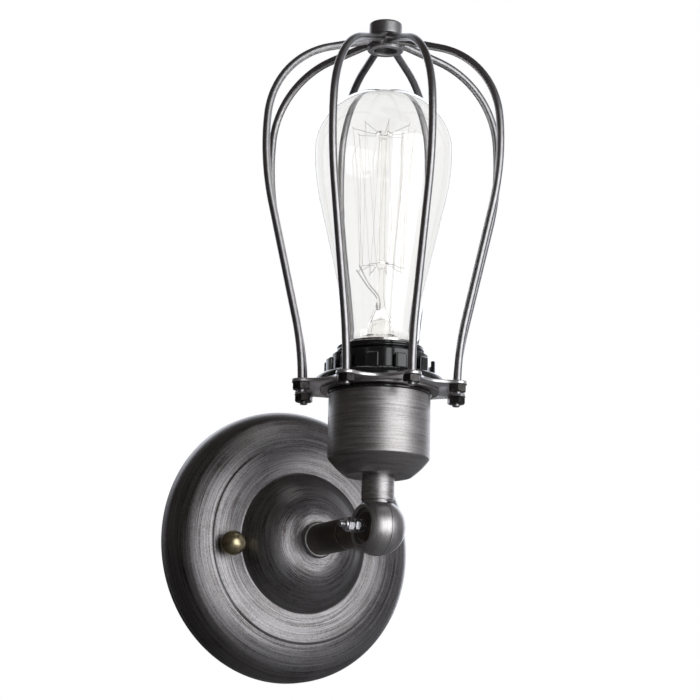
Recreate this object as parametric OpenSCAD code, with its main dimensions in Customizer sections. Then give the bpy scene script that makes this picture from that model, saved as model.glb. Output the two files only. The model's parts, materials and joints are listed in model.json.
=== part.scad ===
// Wall light with a wire cage: a spun wall plate, a short arm with a clamped
// swivel, a lampholder cup, a cage of eight bars and a pear-shaped lamp.
// Millimetres. The wall is the plane y = 0, -Y comes out of the wall and +Z is up.
// The origin is the centre of the wall plate's back. The swivel turns about a
// line along X through (0, -arm_reach, 0).

/* [Wall plate] */
// Outer radius of the wall plate
canopy_r = 62.8; // [56:0.1:76]
// Sheet thickness of the wall plate
canopy_t = 1; // [0.8:0.1:1.4]
// Depth of the straight rim at the wall
canopy_rim_h = 3.4; // [2:0.1:6]
// Half width of the shoulder's ellipse
shoulder_w = 11; // [8:0.5:14]
// Half height of the shoulder's ellipse
shoulder_h = 12.5; // [10:0.5:14]
// How far round its ellipse the shoulder turns
shoulder_turn = 65; // [50:1:75]
// Radial width of the slope above the shoulder
slope_w = 10; // [8:0.5:11]
// Distance of the flat ring from the wall
ring_out = 19.4; // [18.5:0.1:22]
// Radial width of the flat ring
ring_w = 14.3; // [11:0.1:16]
// How far the ring falls towards its outer edge
ring_drop = 0.7; // [0.3:0.1:1.2]
// Distance of the plate's flat centre from the wall
boss_out = 33; // [29:0.5:38]
// Radius of the plate's flat centre
boss_r = 9.5; // [9:0.1:12]
// Power of the domed curve between the ring and the centre
dome_power = 2; // [1.6:0.1:2.4]
// Radius of the turned groove round the slope's foot
groove_d = 0.5; // [0.3:0.05:0.6]

/* [Wall bracket] */
// Distance of the studs inside the plate's edge
stud_inset = 23.3; // [21:0.1:26]
// Distance of the wall screw holes inside the studs
screw_gap = 9.5; // [8.5:0.1:11]
// Radius of the wall screw holes
screw_hole_r = 2.2; // [2:0.1:2.5]
// Turn of the bracket about the plate's axis
bracket_turn = 5.5; // [0:0.5:15]
// Width of the bracket strap
bracket_w = 16; // [14:1:20]
// Thickness of the bracket strap
bracket_t = 1.6; // [1.5:0.1:2]
// How far the strap's ends stand off the wall
bracket_joggle = 2.2; // [2:0.1:3]
// Strap length beyond each stud
bracket_end = 7; // [5:0.5:8]
// Radius of the studs and of the earth screw
stud_r = 1.95; // [1.9:0.05:2.2]
// Radius of the brass ball nuts
ball_nut_r = 5.6; // [5:0.1:6.5]

/* [Arm] */
// Distance of the lamp's axis from the wall
arm_reach = 85; // [80:0.5:110]
// Radius of the arm sleeve and of both swivel stubs
arm_r = 7.2; // [6.8:0.1:8]
// Radius of the collar against the wall plate
collar_r = 8.3; // [8:0.1:9.4]
// Length of the collar
collar_h = 2; // [1.5:0.1:3]
// Radius of the threaded tubes
nipple_r = 5; // [4.8:0.1:5.2]
// Bore radius of the threaded tubes
nipple_bore = 3.35; // [3.2:0.05:3.6]
// Width across the flats of the tube's lock nuts
tube_nut_af = 14; // [13.5:0.1:14.5]
// Thickness of the tube's lock nuts
tube_nut_h = 2.8; // [2.5:0.1:3.5]

/* [Swivel] */
// Radius of the swivel ball
ball_r = 12.5; // [12:0.1:14.5]
// Distance from the swivel's axis to the end of its arm stub
arm_stub = 24.5; // [22:0.5:28]
// Distance from the swivel's axis to the cup
neck_h = 22.35; // [20:0.05:27]
// Place of the joint face between the two halves
seam_x = 0.4; // [0:0.1:0.6]
// Gap between the two halves
seam_gap = 0.1; // [0.06:0.01:0.2]
// Clearance of each stub over the other half
stub_relief = 0.5; // [0.4:0.05:0.8]
// Distance of the flat outer face of the head half
ball_flat = 8.2; // [7.8:0.1:9]
// Radius of the recess in the flat outer face
recess_r = 8; // [7.2:0.1:8.4]
// Depth of that recess
recess_d = 2.4; // [2:0.1:3]
// Radius of the clamp bolt
bolt_r = 1.5; // [1.4:0.05:1.6]
// How far the clamp bolt's tip stands from the swivel's centre
bolt_reach = 18.9; // [18.5:0.1:22]
// Width across the flats of the clamp nuts
bolt_nut_af = 5.5; // [5:0.1:6]

/* [Cup and lampholder] */
// Radius of the cup
cup_r = 22.5; // [22:0.1:27]
// Radius of the cup's flat bottom
cup_floor_r = 14.6; // [13:0.1:16]
// Height of the cup's tapered part
cup_taper_h = 7.85; // [6:0.05:10]
// Whole height of the cup
cup_h = 36; // [34:0.5:44]
// Wall thickness of the cup
cup_t = 1; // [0.8:0.1:1.2]
// Radius of the lampholder's threaded sleeve
sleeve_r = 19.6; // [19.2:0.1:20]
// Height of the sleeve above the cage plate
sleeve_h = 17.5; // [16:0.5:22]
// Thickness of the lampholder's flange
flange_t = 1.4; // [1.2:0.1:2]
// Radius of the clamping washer under the cage plate
washer_r = 26.3; // [25:0.1:26.4]
// Thickness of that washer
washer_t = 1.2; // [1:0.1:1.5]

/* [Ring nut] */
// Radius of the ring nut's domed flange
ring_nut_r = 28.8; // [27:0.1:30]
// Height of the domed flange
ring_dome_h = 4.6; // [3.8:0.1:6.6]
// Outer radius of the ring of lugs
crown_r = 24.7; // [24.4:0.1:25.5]
// Radial thickness of the lugs
crown_t = 1.7; // [1.4:0.1:2]
// Height of the lugs above the plate
crown_h = 10.8; // [10:0.1:13]
// Number of lugs
crown_n = 12; // [8:1:14]
// Width of the gaps between the lugs
crown_gap = 7.4; // [5:0.1:8]
// Outer radius of the threaded collar
collar_ring_r = 21.5; // [21.2:0.1:22]
// Height of the threaded collar
collar_ring_h = 13.5; // [12.5:0.1:16]

/* [Cage] */
// Number of bars
bars = 8; // [8:1:8]
// Turn of the cage about its own axis
cage_turn = -9.2; // [-45:0.1:45]
// Radius of the circle on which the bars stand
foot_r = 36.8; // [35.5:0.1:45]
// Radius of the bars
bar_r = 1.75; // [1.5:0.05:2]
// Radius of the cage's widest part, to the bars' centre line
belly_r = 56; // [47:0.5:68]
// Height of the widest part above the cage plate
belly_h = 107.5; // [96:0.5:130]
// Bend radius of the bars above their feet
flare_r = 125; // [100:1:160]
// Bend radius of the bars at the widest part
belly_bend = 125; // [100:1:160]
// How far the widest part turns inwards before the shoulder
belly_turn = 5; // [2:0.5:10]
// Bend radius of the shoulder
shoulder_bend = 40.6; // [32:0.1:46]
// Slant of the bars where they meet the hub
hub_slant = 16.7; // [10:0.1:25]
// Thickness of the cage plate
plate_t = 1.5; // [1.2:0.1:2]
// Radius of the plate's rounded ears
ear_r = 4.3; // [4.1:0.1:5]
// Radius to the bottom of the hollows between the ears
hollow_r = 31; // [27:0.1:32]
// Width across the flats of the bar nuts
bar_nut_af = 7; // [6.8:0.1:7.4]
// Thickness of the bar nuts
bar_nut_h = 3.2; // [2.8:0.1:3.6]
// Radius of the hub and of its knob
hub_r = 7.45; // [7.2:0.05:9]
// Radius of the hub's threaded hole
hub_hole_r = 5.28; // [4.8:0.02:5.4]
// Height of the hub
hub_h = 7.1; // [6.8:0.1:9]
// Height of the knob on the hub
knob_h = 6.2; // [5:0.1:9]

/* [Lamp] */
// Largest radius of the glass
glass_r = 32; // [27:0.5:38]
// Height of the glass's widest part above its contact
glass_h = 113.5; // [104:0.5:125]
// Height of the glass's domed top
dome_h = 28.8; // [24:0.1:34]
// Radius of the glass's neck
neck_r = 17.2; // [16:0.1:19]
// Bend radius of the glass above its neck
neck_bend = 65; // [55:1:80]
// Bend radius of the glass at its widest part
glass_bend = 110; // [90:1:130]
// Thickness of the glass
glass_t = 0.8; // [0.6:0.1:1]
// Radius of the lamp cap's thread
cap_r = 13.2; // [13:0.1:13.3]
// Height of the lamp cap from its contact to its rim
cap_h = 25.5; // [24:0.5:27]
// Number of hooks at each end of the filament
hooks = 8; // [5:1:10]
// Radius of the circle of upper hooks
upper_hook_r = 14; // [10:0.5:18]
// Radius of the circle of lower hooks
lower_hook_r = 10; // [8:0.5:13]

/* [Fits] */
// Radial clearance of threads and pins in their holes
fit = 0.05; // [0.03:0.01:0.08]
// Radius of each insulated wire
wire_r = 0.8; // [0.6:0.05:0.9]

/* [Hidden] */
$fn = 96;

// ---- lengths that follow from the sizes above ----
eps = 0.01;
shoulder_end_r = canopy_r - shoulder_w * (1 - cos(shoulder_turn));
groove_r = shoulder_end_r - slope_w;
slope_drop = 0.6;
step_r = groove_r - ring_w;
stud_circle_r = canopy_r - stud_inset;
wall_screw_r = stud_circle_r - screw_gap;
tab_out = bracket_joggle + bracket_t;
stud_head_r = 3.4;
stud_head_h = 1.5;
stud_nut_af = 7;
stud_nut_h = 3.2;
finial_neck_r = 3.5;
finial_neck_h = 1;
finial_sink = 0.6;
finial_out = ring_out + finial_neck_h + ball_nut_r - finial_sink;
stud_tip_out = finial_out + 1;
earth_x = 17;
earth_head_r = 3.8;
earth_head_h = 2.2;
lead_hole_r = 5;

// terminal block on the strap, two poles along X
block_size = [15, 12, 9];
block_x = -8;
block_pole_y = 3;
block_pole_out = bracket_t + 4.5;
block_bore_r = 1.6;
block_screw_r = 1.4;
block_screw_x = 4;

lock_washer_r = 7.6;
lock_washer_t = 0.9;
inner_boss_out = boss_out - canopy_t;
arm_nut_out = inner_boss_out - lock_washer_t - tube_nut_h;
nipple_proud = 1.8;
nipple_in_out = arm_nut_out - nipple_proud;
sleeve_start_out = boss_out + collar_h;
sleeve_end_out = arm_reach - arm_stub;
spigot_l = 9;
tube_gap = 1;

// swivel
cavity_r = 5.5;
cavity_x = 4;
wire_side = 2.6;
wire_mid = 1.6;
wire_y = 0.95;
bend_swell = 1.08;
wire_bore_r = wire_y + wire_r + 0.2;
wire_end = 3.2;
jog_at = 17;
stub_groove_w = 0.7;
stub_groove_d = 0.7;
ball_at_stub = sqrt(ball_r * ball_r - arm_r * arm_r);
recess_floor_x = -(ball_flat - recess_d);
clamp_washer_r = 6.3;
clamp_washer_t = 0.8;
clamp_nut_h = 2.3;
spring_washer_t = 1;
spring_washer_r = 2.6;
lock_nut_h = 4;
bolt_head_r = 2.8;
bolt_head_h = 2;
bolt_head_well = 4.2;
nut_a_x = recess_floor_x - clamp_washer_t;
spring_x = nut_a_x - clamp_nut_h;
nut_b_x = spring_x - spring_washer_t;
bolt_tip_proud = 2;
lock_nut_x = -(bolt_reach - bolt_tip_proud - lock_nut_h);

// cup and lampholder, heights above the swivel's axis
cup_floor_z = neck_h + cup_t;
neck_nut_z = cup_floor_z + lock_washer_t;
holder_base_z = neck_nut_z + tube_nut_h;
cup_rim_z = neck_h + cup_h;
flange_z = cup_rim_z;
washer_z = flange_z + flange_t;
plate_z = washer_z + washer_t;
plate_top_z = plate_z + plate_t;
sleeve_top_z = plate_top_z + sleeve_h;
holder_gap = 1.2;
holder_body_r = cup_r - cup_t - holder_gap;
holder_wall = 2.2;
holder_foot_r = 9;
holder_base_taper = 8;
holder_base_top_z = holder_base_z + 17;
holder_bore_r = 14.8;
holder_floor_t = 4;
contact_t = 1;
lamp_z = sleeve_top_z + 2 - cap_h;
holder_floor_z = lamp_z - contact_t;
contact_r = 4;
rivet_r = 1.5;
rivet_head_r = 3;
rivet_head_t = 1;
shell_t = 0.6;
shell_h = 21;
terminal_size = [6, 5, 6];
terminal_x = 11;
terminal_screw_r = 1.5;
terminal_head_r = 2.4;
terminal_head_h = 1.6;
terminal_screw_z = terminal_size[2] - terminal_head_r - 0.1;
nipple_top_z = holder_base_z + 5;
nipple_low_z = 13.6;
thread_gap = 0.1;

// ring nut
dome_edge_h = 1.4;
dome_top_r = crown_r - 0.2;
crown_floor_h = ring_dome_h - 0.6;
flange_r = cup_r + 0.4;

// cage
ear_gap_angle = 360 / bars;
half_gap = ear_gap_angle / 2;
foot_low_z = plate_z - bar_nut_h - 1.3;
hub_below = 4.4;
bar_step = 0.01;
bar_lap = 0.3;
hub_fit = 0.05;
knob_edge = 0.8;
knob_spigot_h = 3.5;

// Each hollow is a round bite that runs tangent into the two ears beside it.
bite_num = pow(hollow_r, 2) + pow(foot_r, 2) - 2 * hollow_r * foot_r * cos(half_gap) - pow(ear_r, 2);
bite_den = 2 * (ear_r - hollow_r + foot_r * cos(half_gap));
bite_r = bite_num / bite_den;
bite_at = hollow_r + bite_r;

// lamp
glass_z = lamp_z + glass_h;
cap_rim_z = lamp_z + cap_h;
glass_foot_r = cap_r + 0.1;
glass_foot_z = cap_rim_z - 1.5;
neck_z = cap_rim_z + (neck_r - glass_foot_r);
cap_skirt_r = 14;
cap_t = 0.35;
cap_low_z = lamp_z + 5;
cap_skirt_z = cap_rim_z - 3.5;
insulator_low_r = 4.6;
insulator_top_r = 10.5;
insulator_z = lamp_z + 1;
contact_dot_r = 2.6;
stem_r = 5.75;
stem_t = 0.8;
stem_shoulder_z = lamp_z + 35;
pinch_z = lamp_z + 41;
post_r = 1.6;
lower_button_z = lamp_z + 60.5;
upper_button_z = lamp_z + 121;
lower_button_r = 3.4;
upper_button_r = 4;
button_h = 2;
hook_wire_r = 0.2;
hook_rise = 2;
hook_tip = 1.2;
filament_r = 0.15;
filament_gap = 0.35;
lead_wire_r = 0.35;
lead_top_r = 11.5;

// ---- helpers ----
// local x, local y up the wall, local z out of the wall
module out_of_wall() {
    rotate([90, 0, 0]) children();
}

// the swivel's centre, where the lamp's axis meets the arm
module at_swivel() {
    translate([0, -arm_reach, 0]) children();
}

// from x along -X
module along_minus_x(x) {
    translate([x, 0, 0]) rotate([0, -90, 0]) children();
}

module tube(h, r, bore) {
    difference() {
        cylinder(h = h, r = r);
        translate([0, 0, -1]) cylinder(h = h + 2, r = bore);
    }
}

module hex_nut(h, af, bore) {
    difference() {
        cylinder(h = h, r = af / 2 / cos(30), $fn = 6);
        translate([0, 0, -1]) cylinder(h = h + 2, r = bore);
    }
}

// round rod between two points
module rod(a, b, r) {
    d = b - a;
    l = norm(d);
    translate(a)
        rotate([0, acos(d[2] / l), atan2(d[1], d[0])])
            cylinder(h = l, r = r);
}

// round wire through a list of points, with a slightly swollen ball at each bend
module wire(points, r) {
    last = len(points) - 1;
    for (i = [0 : last - 1]) rod(points[i], points[i + 1], r);
    for (i = [1 : 1 : last - 1]) translate(points[i]) sphere(r = r * bend_swell);
}

function arc(c, r, from, to, n) =
    [for (i = [0 : n]) let (a = from + (to - from) * i / n) [c[0] + r * cos(a), c[1] + r * sin(a)]];

// unit normal on the left of the step from a to b
function left_of(a, b) = let (d = b - a) [-d[1], d[0]] / norm(d);

// a path moved sideways to its left by t, with mitred corners
function beside(path, t) =
    [for (i = [0 : len(path) - 1])
        let (n0 = left_of(path[max(i - 1, 0)], path[max(i, 1)]),
             n1 = left_of(path[min(i, len(path) - 2)], path[min(i + 1, len(path) - 1)]))
        path[i] + t * (n0 + n1) / (1 + n0 * n1)];

function reversed(list) = [for (i = [len(list) - 1 : -1 : 0]) list[i]];

// The slant of the straight stretch that leaves a bend of radius r1 about c1,
// which starts vertical and turns outwards, and runs into a bend of radius r2
// about c2, which turns back to vertical at its widest point.
function slant_between(c1, r1, c2, r2) =
    let (d = c2 - c1) atan2(d[0], d[1]) + asin((r1 + r2) / norm(d));

// ---- wall plate and its fixing ----
// the plate's outer skin from the wall to the centre, as [radius, distance from the wall]
canopy_skin = concat(
    [[canopy_r, 0]],
    [for (i = [0 : 9]) let (a = shoulder_turn * i / 9)
        [canopy_r - shoulder_w * (1 - cos(a)), canopy_rim_h + shoulder_h * sin(a)]],
    [[groove_r, ring_out - ring_drop - slope_drop],
     [groove_r - 1, ring_out - ring_drop],
     [stud_circle_r + finial_neck_r / 2, ring_out]],
    [for (i = [0 : 16]) let (t = i / 16)
        [step_r - (step_r - boss_r) * t,
         ring_out + (boss_out - ring_out) * (1 - pow(1 - t, dome_power))]]);
canopy_lining = beside(canopy_skin, canopy_t);

module canopy() {
    hole_r = nipple_r + thread_gap;
    color([0.33, 0.32, 0.32])
    out_of_wall() difference() {
        rotate_extrude()
            polygon(concat(canopy_skin, [[hole_r, boss_out], [hole_r, inner_boss_out]],
                reversed(canopy_lining)));
        rotate_extrude() translate([groove_r, ring_out - ring_drop - slope_drop + groove_d / 3])
            circle(r = groove_d);
        at_studs() cylinder(h = ring_out + 1, r = stud_r + 0.2);
    }
}

module at_studs() {
    for (side = [0, 180])
        rotate([0, 0, bracket_turn + side]) translate([stud_circle_r, 0, 0]) children();
}

// pressed strap, flat on the wall in the middle, with ends that stand off it
module crossbar() {
    end_x = stud_circle_r + bracket_end;
    bend_x = wall_screw_r + screw_gap / 2;
    half = [[0, 0], [bend_x - 1.5, 0], [bend_x + 1, bracket_joggle], [end_x, bracket_joggle],
        [end_x, tab_out], [bend_x + 0.4, tab_out], [bend_x - 2.1, bracket_t], [0, bracket_t]];
    color("silver")
    out_of_wall() rotate([0, 0, bracket_turn]) difference() {
        for (side = [0, 1]) mirror([side, 0, 0])
            rotate([90, 0, 0])
                translate([0, 0, -bracket_w / 2]) linear_extrude(bracket_w) polygon(half);
        for (side = [-1, 1]) {
            translate([side * wall_screw_r, 0, -1]) cylinder(h = tab_out + 2, r = screw_hole_r);
            translate([side * stud_circle_r, 0, -1]) cylinder(h = tab_out + 2, r = stud_r + fit);
        }
        translate([0, 0, -1]) cylinder(h = bracket_t + 2, r = lead_hole_r);
        translate([earth_x, 0, -1]) cylinder(h = bracket_t + 2, r = stud_r + fit);
    }
}

module mounting_studs() {
    color("gainsboro")
    out_of_wall() at_studs() {
        translate([0, 0, bracket_joggle - stud_head_h])
            cylinder(h = stud_head_h, r = stud_head_r / cos(30), $fn = 6);
        translate([0, 0, bracket_joggle]) cylinder(h = stud_tip_out - bracket_joggle, r = stud_r);
    }
}

module stud_lock_nuts() {
    color("gainsboro")
    out_of_wall() at_studs()
        translate([0, 0, tab_out]) hex_nut(stud_nut_h, stud_nut_af, stud_r + fit);
}

module ball_nuts() {
    color([0.55, 0.47, 0.27])
    out_of_wall() at_studs() difference() {
        union() {
            translate([0, 0, ring_out]) cylinder(h = finial_neck_h, r = finial_neck_r);
            intersection() {
                translate([0, 0, finial_out]) sphere(r = ball_nut_r);
                translate([0, 0, ring_out + finial_neck_h])
                    cylinder(h = 2 * ball_nut_r, r = ball_nut_r + 1);
            }
        }
        translate([0, 0, ring_out - 1]) cylinder(h = stud_tip_out - ring_out + 1.5, r = stud_r + fit);
    }
}

module earth_screw() {
    color([0.75, 0.65, 0.35])
    out_of_wall() rotate([0, 0, bracket_turn]) translate([earth_x, 0, 0]) {
        difference() {
            translate([0, 0, bracket_t]) cylinder(h = earth_head_h, r = earth_head_r);
            translate([-earth_head_r - 1, -0.5, bracket_t + earth_head_h - 0.9])
                cube([2 * earth_head_r + 2, 1, 1]);
        }
        translate([0, 0, 0.2]) cylinder(h = bracket_t - 0.2, r = stud_r);
    }
}

module at_block() {
    out_of_wall() rotate([0, 0, bracket_turn]) translate([block_x, 0, 0]) children();
}

module terminal_block() {
    color("ivory")
    at_block() difference() {
        translate([-block_size[0], -block_size[1] / 2, bracket_t]) cube(block_size);
        for (pole = [-1, 1]) {
            translate([1, pole * block_pole_y, block_pole_out]) rotate([0, -90, 0])
                cylinder(h = block_size[0] + 2, r = block_bore_r);
            for (end = [0, 1])
                translate([-block_screw_x - end * (block_size[0] - 2 * block_screw_x),
                    pole * block_pole_y, block_pole_out])
                    cylinder(h = block_size[2], r = block_screw_r + fit);
        }
    }
}

module terminal_screws() {
    color("gold")
    at_block() for (pole = [-1, 1], end = [0, 1])
        translate([-block_screw_x - end * (block_size[0] - 2 * block_screw_x),
            pole * block_pole_y, block_pole_out + wire_r + fit])
            cylinder(h = 2.6, r = block_screw_r);
}

// ---- arm ----
module arm_nipple() {
    l = sleeve_end_out - spigot_l - tube_gap - nipple_in_out;
    color("goldenrod")
    out_of_wall() translate([0, 0, nipple_in_out]) tube(l, nipple_r, nipple_bore);
}

module arm_lock_washer() {
    color("silver")
    out_of_wall() translate([0, 0, inner_boss_out - lock_washer_t])
        tube(lock_washer_t, lock_washer_r, nipple_r + fit);
}

module arm_lock_nut() {
    color("goldenrod")
    out_of_wall() translate([0, 0, arm_nut_out]) hex_nut(tube_nut_h, tube_nut_af, nipple_r + fit);
}

module arm_collar() {
    color([0.36, 0.35, 0.34])
    out_of_wall() translate([0, 0, boss_out]) tube(collar_h, collar_r, nipple_r + fit);
}

module arm_sleeve() {
    color([0.3, 0.29, 0.29])
    out_of_wall() translate([0, 0, sleeve_start_out])
        tube(sleeve_end_out - sleeve_start_out, arm_r, nipple_r + fit);
}

// two insulated wires from the terminal block through the arm to the swivel
module arm_leads() {
    color("saddlebrown")
    out_of_wall() for (side = [-1, 1]) {
        pole = [block_x * cos(bracket_turn) - side * block_pole_y * sin(bracket_turn),
            block_x * sin(bracket_turn) + side * block_pole_y * cos(bracket_turn)];
        into = [cos(bracket_turn), sin(bracket_turn)];
        wire([[pole[0] - 3 * into[0], pole[1] - 3 * into[1], block_pole_out],
            [pole[0] + 2 * into[0], pole[1] + 2 * into[1], block_pole_out],
            [wire_mid, side * wire_y, nipple_in_out - 8],
            [wire_mid, side * wire_y, arm_reach - jog_at - 4],
            [seam_x + wire_side, side * wire_y, arm_reach - jog_at],
            [seam_x + wire_side, side * wire_y, arm_reach - wire_end]], wire_r);
    }
}

// ---- swivel ----
function own_face(side) = seam_x + side * seam_gap / 2;

// the region beyond one half's joint face, on the given side, turned about X
module turned_beyond(face, side, r) {
    rotate([0, 90, 0]) rotate_extrude() intersection() {
        circle(r = r);
        translate([0, side > 0 ? face : face - 2 * r]) square(2 * r);
    }
}

// a stub that runs along +Z from one half of the ball and clears the other half
module stub(side, reach, spigot) {
    difference() {
        union() {
            translate([0, 0, cavity_r + 0.5]) cylinder(h = reach - cavity_r - 0.5, r = arm_r);
            if (spigot > 0) translate([0, 0, reach - 1]) cylinder(h = spigot + 1, r = nipple_r);
        }
        turned_beyond(own_face(side), -side, ball_r + stub_relief);
        translate([0, 0, ball_at_stub + stub_groove_w]) tube(stub_groove_w, arm_r + 1, arm_r - stub_groove_d);
    }
}

// what is turned out of the ball about X, with a well from one side
module turned_out(well_r, well_from, well_to) {
    rotate([0, 90, 0]) rotate_extrude() union() {
        translate([0, -2 * ball_r]) square([bolt_r + fit, 4 * ball_r]);
        translate([0, -cavity_x]) square([cavity_r, 2 * cavity_x]);
        translate([0, well_from]) square([well_r, well_to - well_from]);
    }
}

module swivel_arm_half() {
    color([0.38, 0.37, 0.37])
    at_swivel() rotate([90, 0, 0]) mirror([0, 0, 1]) difference() {
        union() {
            turned_beyond(own_face(1), 1, ball_r);
            stub(1, arm_stub, spigot_l);
        }
        turned_out(bolt_head_r + 0.4, ball_r - bolt_head_well, 2 * ball_r);
        translate([seam_x + wire_side, 0, 0]) cylinder(h = jog_at + 3.5, r = wire_bore_r);
        translate([0, 0, jog_at]) cylinder(h = arm_stub + spigot_l, r = nipple_bore);
    }
}

module swivel_head_half() {
    color([0.38, 0.37, 0.37])
    at_swivel() difference() {
        union() {
            turned_beyond(own_face(-1), -1, ball_r);
            stub(-1, neck_h, 0);
        }
        translate([-3 * ball_r, -ball_r - 1, -ball_r - 1])
            cube([3 * ball_r - ball_flat, 2 * ball_r + 2, 2 * ball_r + 2]);
        turned_out(recess_r, -2 * ball_r, recess_floor_x);
        translate([seam_x - wire_side, 0, 0]) cylinder(h = nipple_low_z + 1, r = wire_bore_r);
        translate([0, 0, nipple_low_z]) cylinder(h = neck_h, r = nipple_r + fit);
    }
}

module clamp_bolt() {
    head_x = ball_r - bolt_head_well + fit;
    color("whitesmoke")
    at_swivel() {
        along_minus_x(head_x) cylinder(h = head_x + bolt_reach, r = bolt_r);
        along_minus_x(head_x + bolt_head_h) difference() {
            cylinder(h = bolt_head_h, r = bolt_head_r);
            translate([0, 0, -1]) cylinder(h = 2.2, r = 1.5, $fn = 6);
        }
    }
}

module clamp_washer() {
    color("gray")
    at_swivel() along_minus_x(recess_floor_x) tube(clamp_washer_t, clamp_washer_r, bolt_r + fit);
}

module clamp_nuts() {
    color("whitesmoke")
    at_swivel() for (x = [nut_a_x, nut_b_x])
        along_minus_x(x) hex_nut(clamp_nut_h, bolt_nut_af, bolt_r + fit);
}

// split washer, pressed nearly flat between the two nuts
module spring_washer() {
    color("dimgray")
    at_swivel() along_minus_x(spring_x) difference() {
        tube(spring_washer_t, spring_washer_r, bolt_r + fit);
        translate([0, -0.3, -1]) cube([spring_washer_r + 1, 0.6, spring_washer_t + 2]);
    }
}

module clamp_lock_nut() {
    color("gainsboro")
    at_swivel() along_minus_x(lock_nut_x) hex_nut(lock_nut_h, bolt_nut_af, bolt_r + fit);
}

// ---- cup and lampholder ----
module neck_nipple() {
    color("goldenrod")
    at_swivel() translate([0, 0, nipple_low_z + eps])
        tube(nipple_top_z - nipple_low_z, nipple_r, nipple_bore);
}

module neck_lock_washer() {
    color("silver")
    at_swivel() translate([0, 0, cup_floor_z]) tube(lock_washer_t, lock_washer_r, nipple_r + fit);
}

module neck_lock_nut() {
    color("goldenrod")
    at_swivel() translate([0, 0, neck_nut_z]) hex_nut(tube_nut_h, tube_nut_af, nipple_r + fit);
}

cup_skin = [[cup_floor_r, neck_h], [cup_r, neck_h + cup_taper_h], [cup_r, cup_rim_z]];
cup_outer = concat([[nipple_r + fit, neck_h]], cup_skin);

module socket_cup() {
    color([0.4, 0.39, 0.39])
    at_swivel() rotate_extrude() polygon(concat(cup_outer, reversed(beside(cup_outer, cup_t))));
}

holder_base_skin = [[nipple_r + fit, holder_base_z], [holder_foot_r, holder_base_z],
    [holder_body_r, holder_base_z + holder_base_taper], [holder_body_r, holder_base_top_z]];

module holder_base() {
    foot_t = 3.5;
    color([0.08, 0.08, 0.08])
    at_swivel() {
        rotate_extrude()
            polygon(concat(holder_base_skin, reversed(beside(holder_base_skin, holder_wall))));
        translate([0, 0, holder_base_z + 1])
            tube(foot_t, holder_foot_r - 1, nipple_r + fit);
    }
}

// moulded body with the outer thread, the flange on the cup's rim and the lamp's bore
module holder_sleeve() {
    under_z = holder_floor_z - holder_floor_t;
    color([0.06, 0.06, 0.06])
    at_swivel() difference() {
        union() {
            translate([0, 0, holder_base_top_z])
                cylinder(h = flange_z - holder_base_top_z, r = holder_body_r);
            translate([0, 0, flange_z]) cylinder(h = flange_t, r = flange_r);
            translate([0, 0, washer_z]) cylinder(h = sleeve_top_z - washer_z, r = sleeve_r);
        }
        translate([0, 0, holder_base_top_z - 1])
            cylinder(h = under_z - holder_base_top_z + 1, r = holder_body_r - holder_wall);
        translate([0, 0, holder_floor_z]) cylinder(h = sleeve_top_z, r = holder_bore_r);
        cylinder(h = sleeve_top_z, r = rivet_r + fit);
    }
}

module holder_shell() {
    r = holder_bore_r - thread_gap;
    color([0.8, 0.66, 0.35])
    at_swivel() translate([0, 0, holder_floor_z]) difference() {
        cylinder(h = shell_h, r = r);
        translate([0, 0, shell_t]) cylinder(h = shell_h, r = r - shell_t);
        translate([0, 0, -1]) cylinder(h = shell_t + 2, r = contact_r + 3);
    }
}

module holder_contact() {
    rivet_l = holder_floor_t + rivet_head_t;
    color([0.8, 0.66, 0.35])
    at_swivel() {
        translate([0, 0, holder_floor_z]) cylinder(h = contact_t, r = contact_r);
        translate([0, 0, holder_floor_z - rivet_l]) cylinder(h = rivet_l, r = rivet_r);
        translate([0, 0, holder_floor_z - rivet_l]) cylinder(h = rivet_head_t, r = rivet_head_r);
    }
}

module at_terminals() {
    for (side = [0, 180])
        rotate([0, 0, side])
            translate([terminal_x, 0, holder_floor_z - holder_floor_t - terminal_size[2]]) children();
}

module holder_terminals() {
    color([0.8, 0.66, 0.35])
    at_swivel() at_terminals() difference() {
        translate([-terminal_size[0] / 2, -terminal_size[1] / 2, 0]) cube(terminal_size);
        translate([0, 0, -1]) cylinder(h = 4.5, r = wire_r + fit);
        translate([0, -terminal_size[1], terminal_screw_z]) rotate([-90, 0, 0])
            cylinder(h = terminal_size[1] - 1, r = terminal_screw_r + fit);
    }
}

module holder_screws() {
    color("gold")
    at_swivel() at_terminals()
        translate([0, -terminal_size[1] / 2 - terminal_head_h, terminal_screw_z])
            rotate([-90, 0, 0]) {
                cylinder(h = terminal_head_h, r = terminal_head_r);
                cylinder(h = terminal_head_h + 1.4, r = terminal_screw_r);
            }
}

// two insulated wires from the swivel through the neck to the lampholder's terminals
module head_leads() {
    low_z = holder_floor_z - holder_floor_t - terminal_size[2];
    color("saddlebrown")
    at_swivel() for (side = [-1, 1])
        wire([[seam_x - wire_side, side * wire_y, wire_end],
            [seam_x - wire_side, side * wire_y, nipple_low_z],
            [-wire_mid, side * wire_y, nipple_low_z + 3],
            [-wire_mid, side * wire_y, nipple_top_z + 1],
            [side * terminal_x, 0, low_z - 2],
            [side * terminal_x, 0, low_z + 3]], wire_r);
}

module seat_washer() {
    color([0.3, 0.3, 0.31])
    at_swivel() translate([0, 0, washer_z]) tube(washer_t, washer_r, sleeve_r + thread_gap);
}

// ---- cage ----
module around_cage() {
    for (i = [0 : bars - 1]) rotate([0, 0, cage_turn + i * ear_gap_angle]) children();
}

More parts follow.
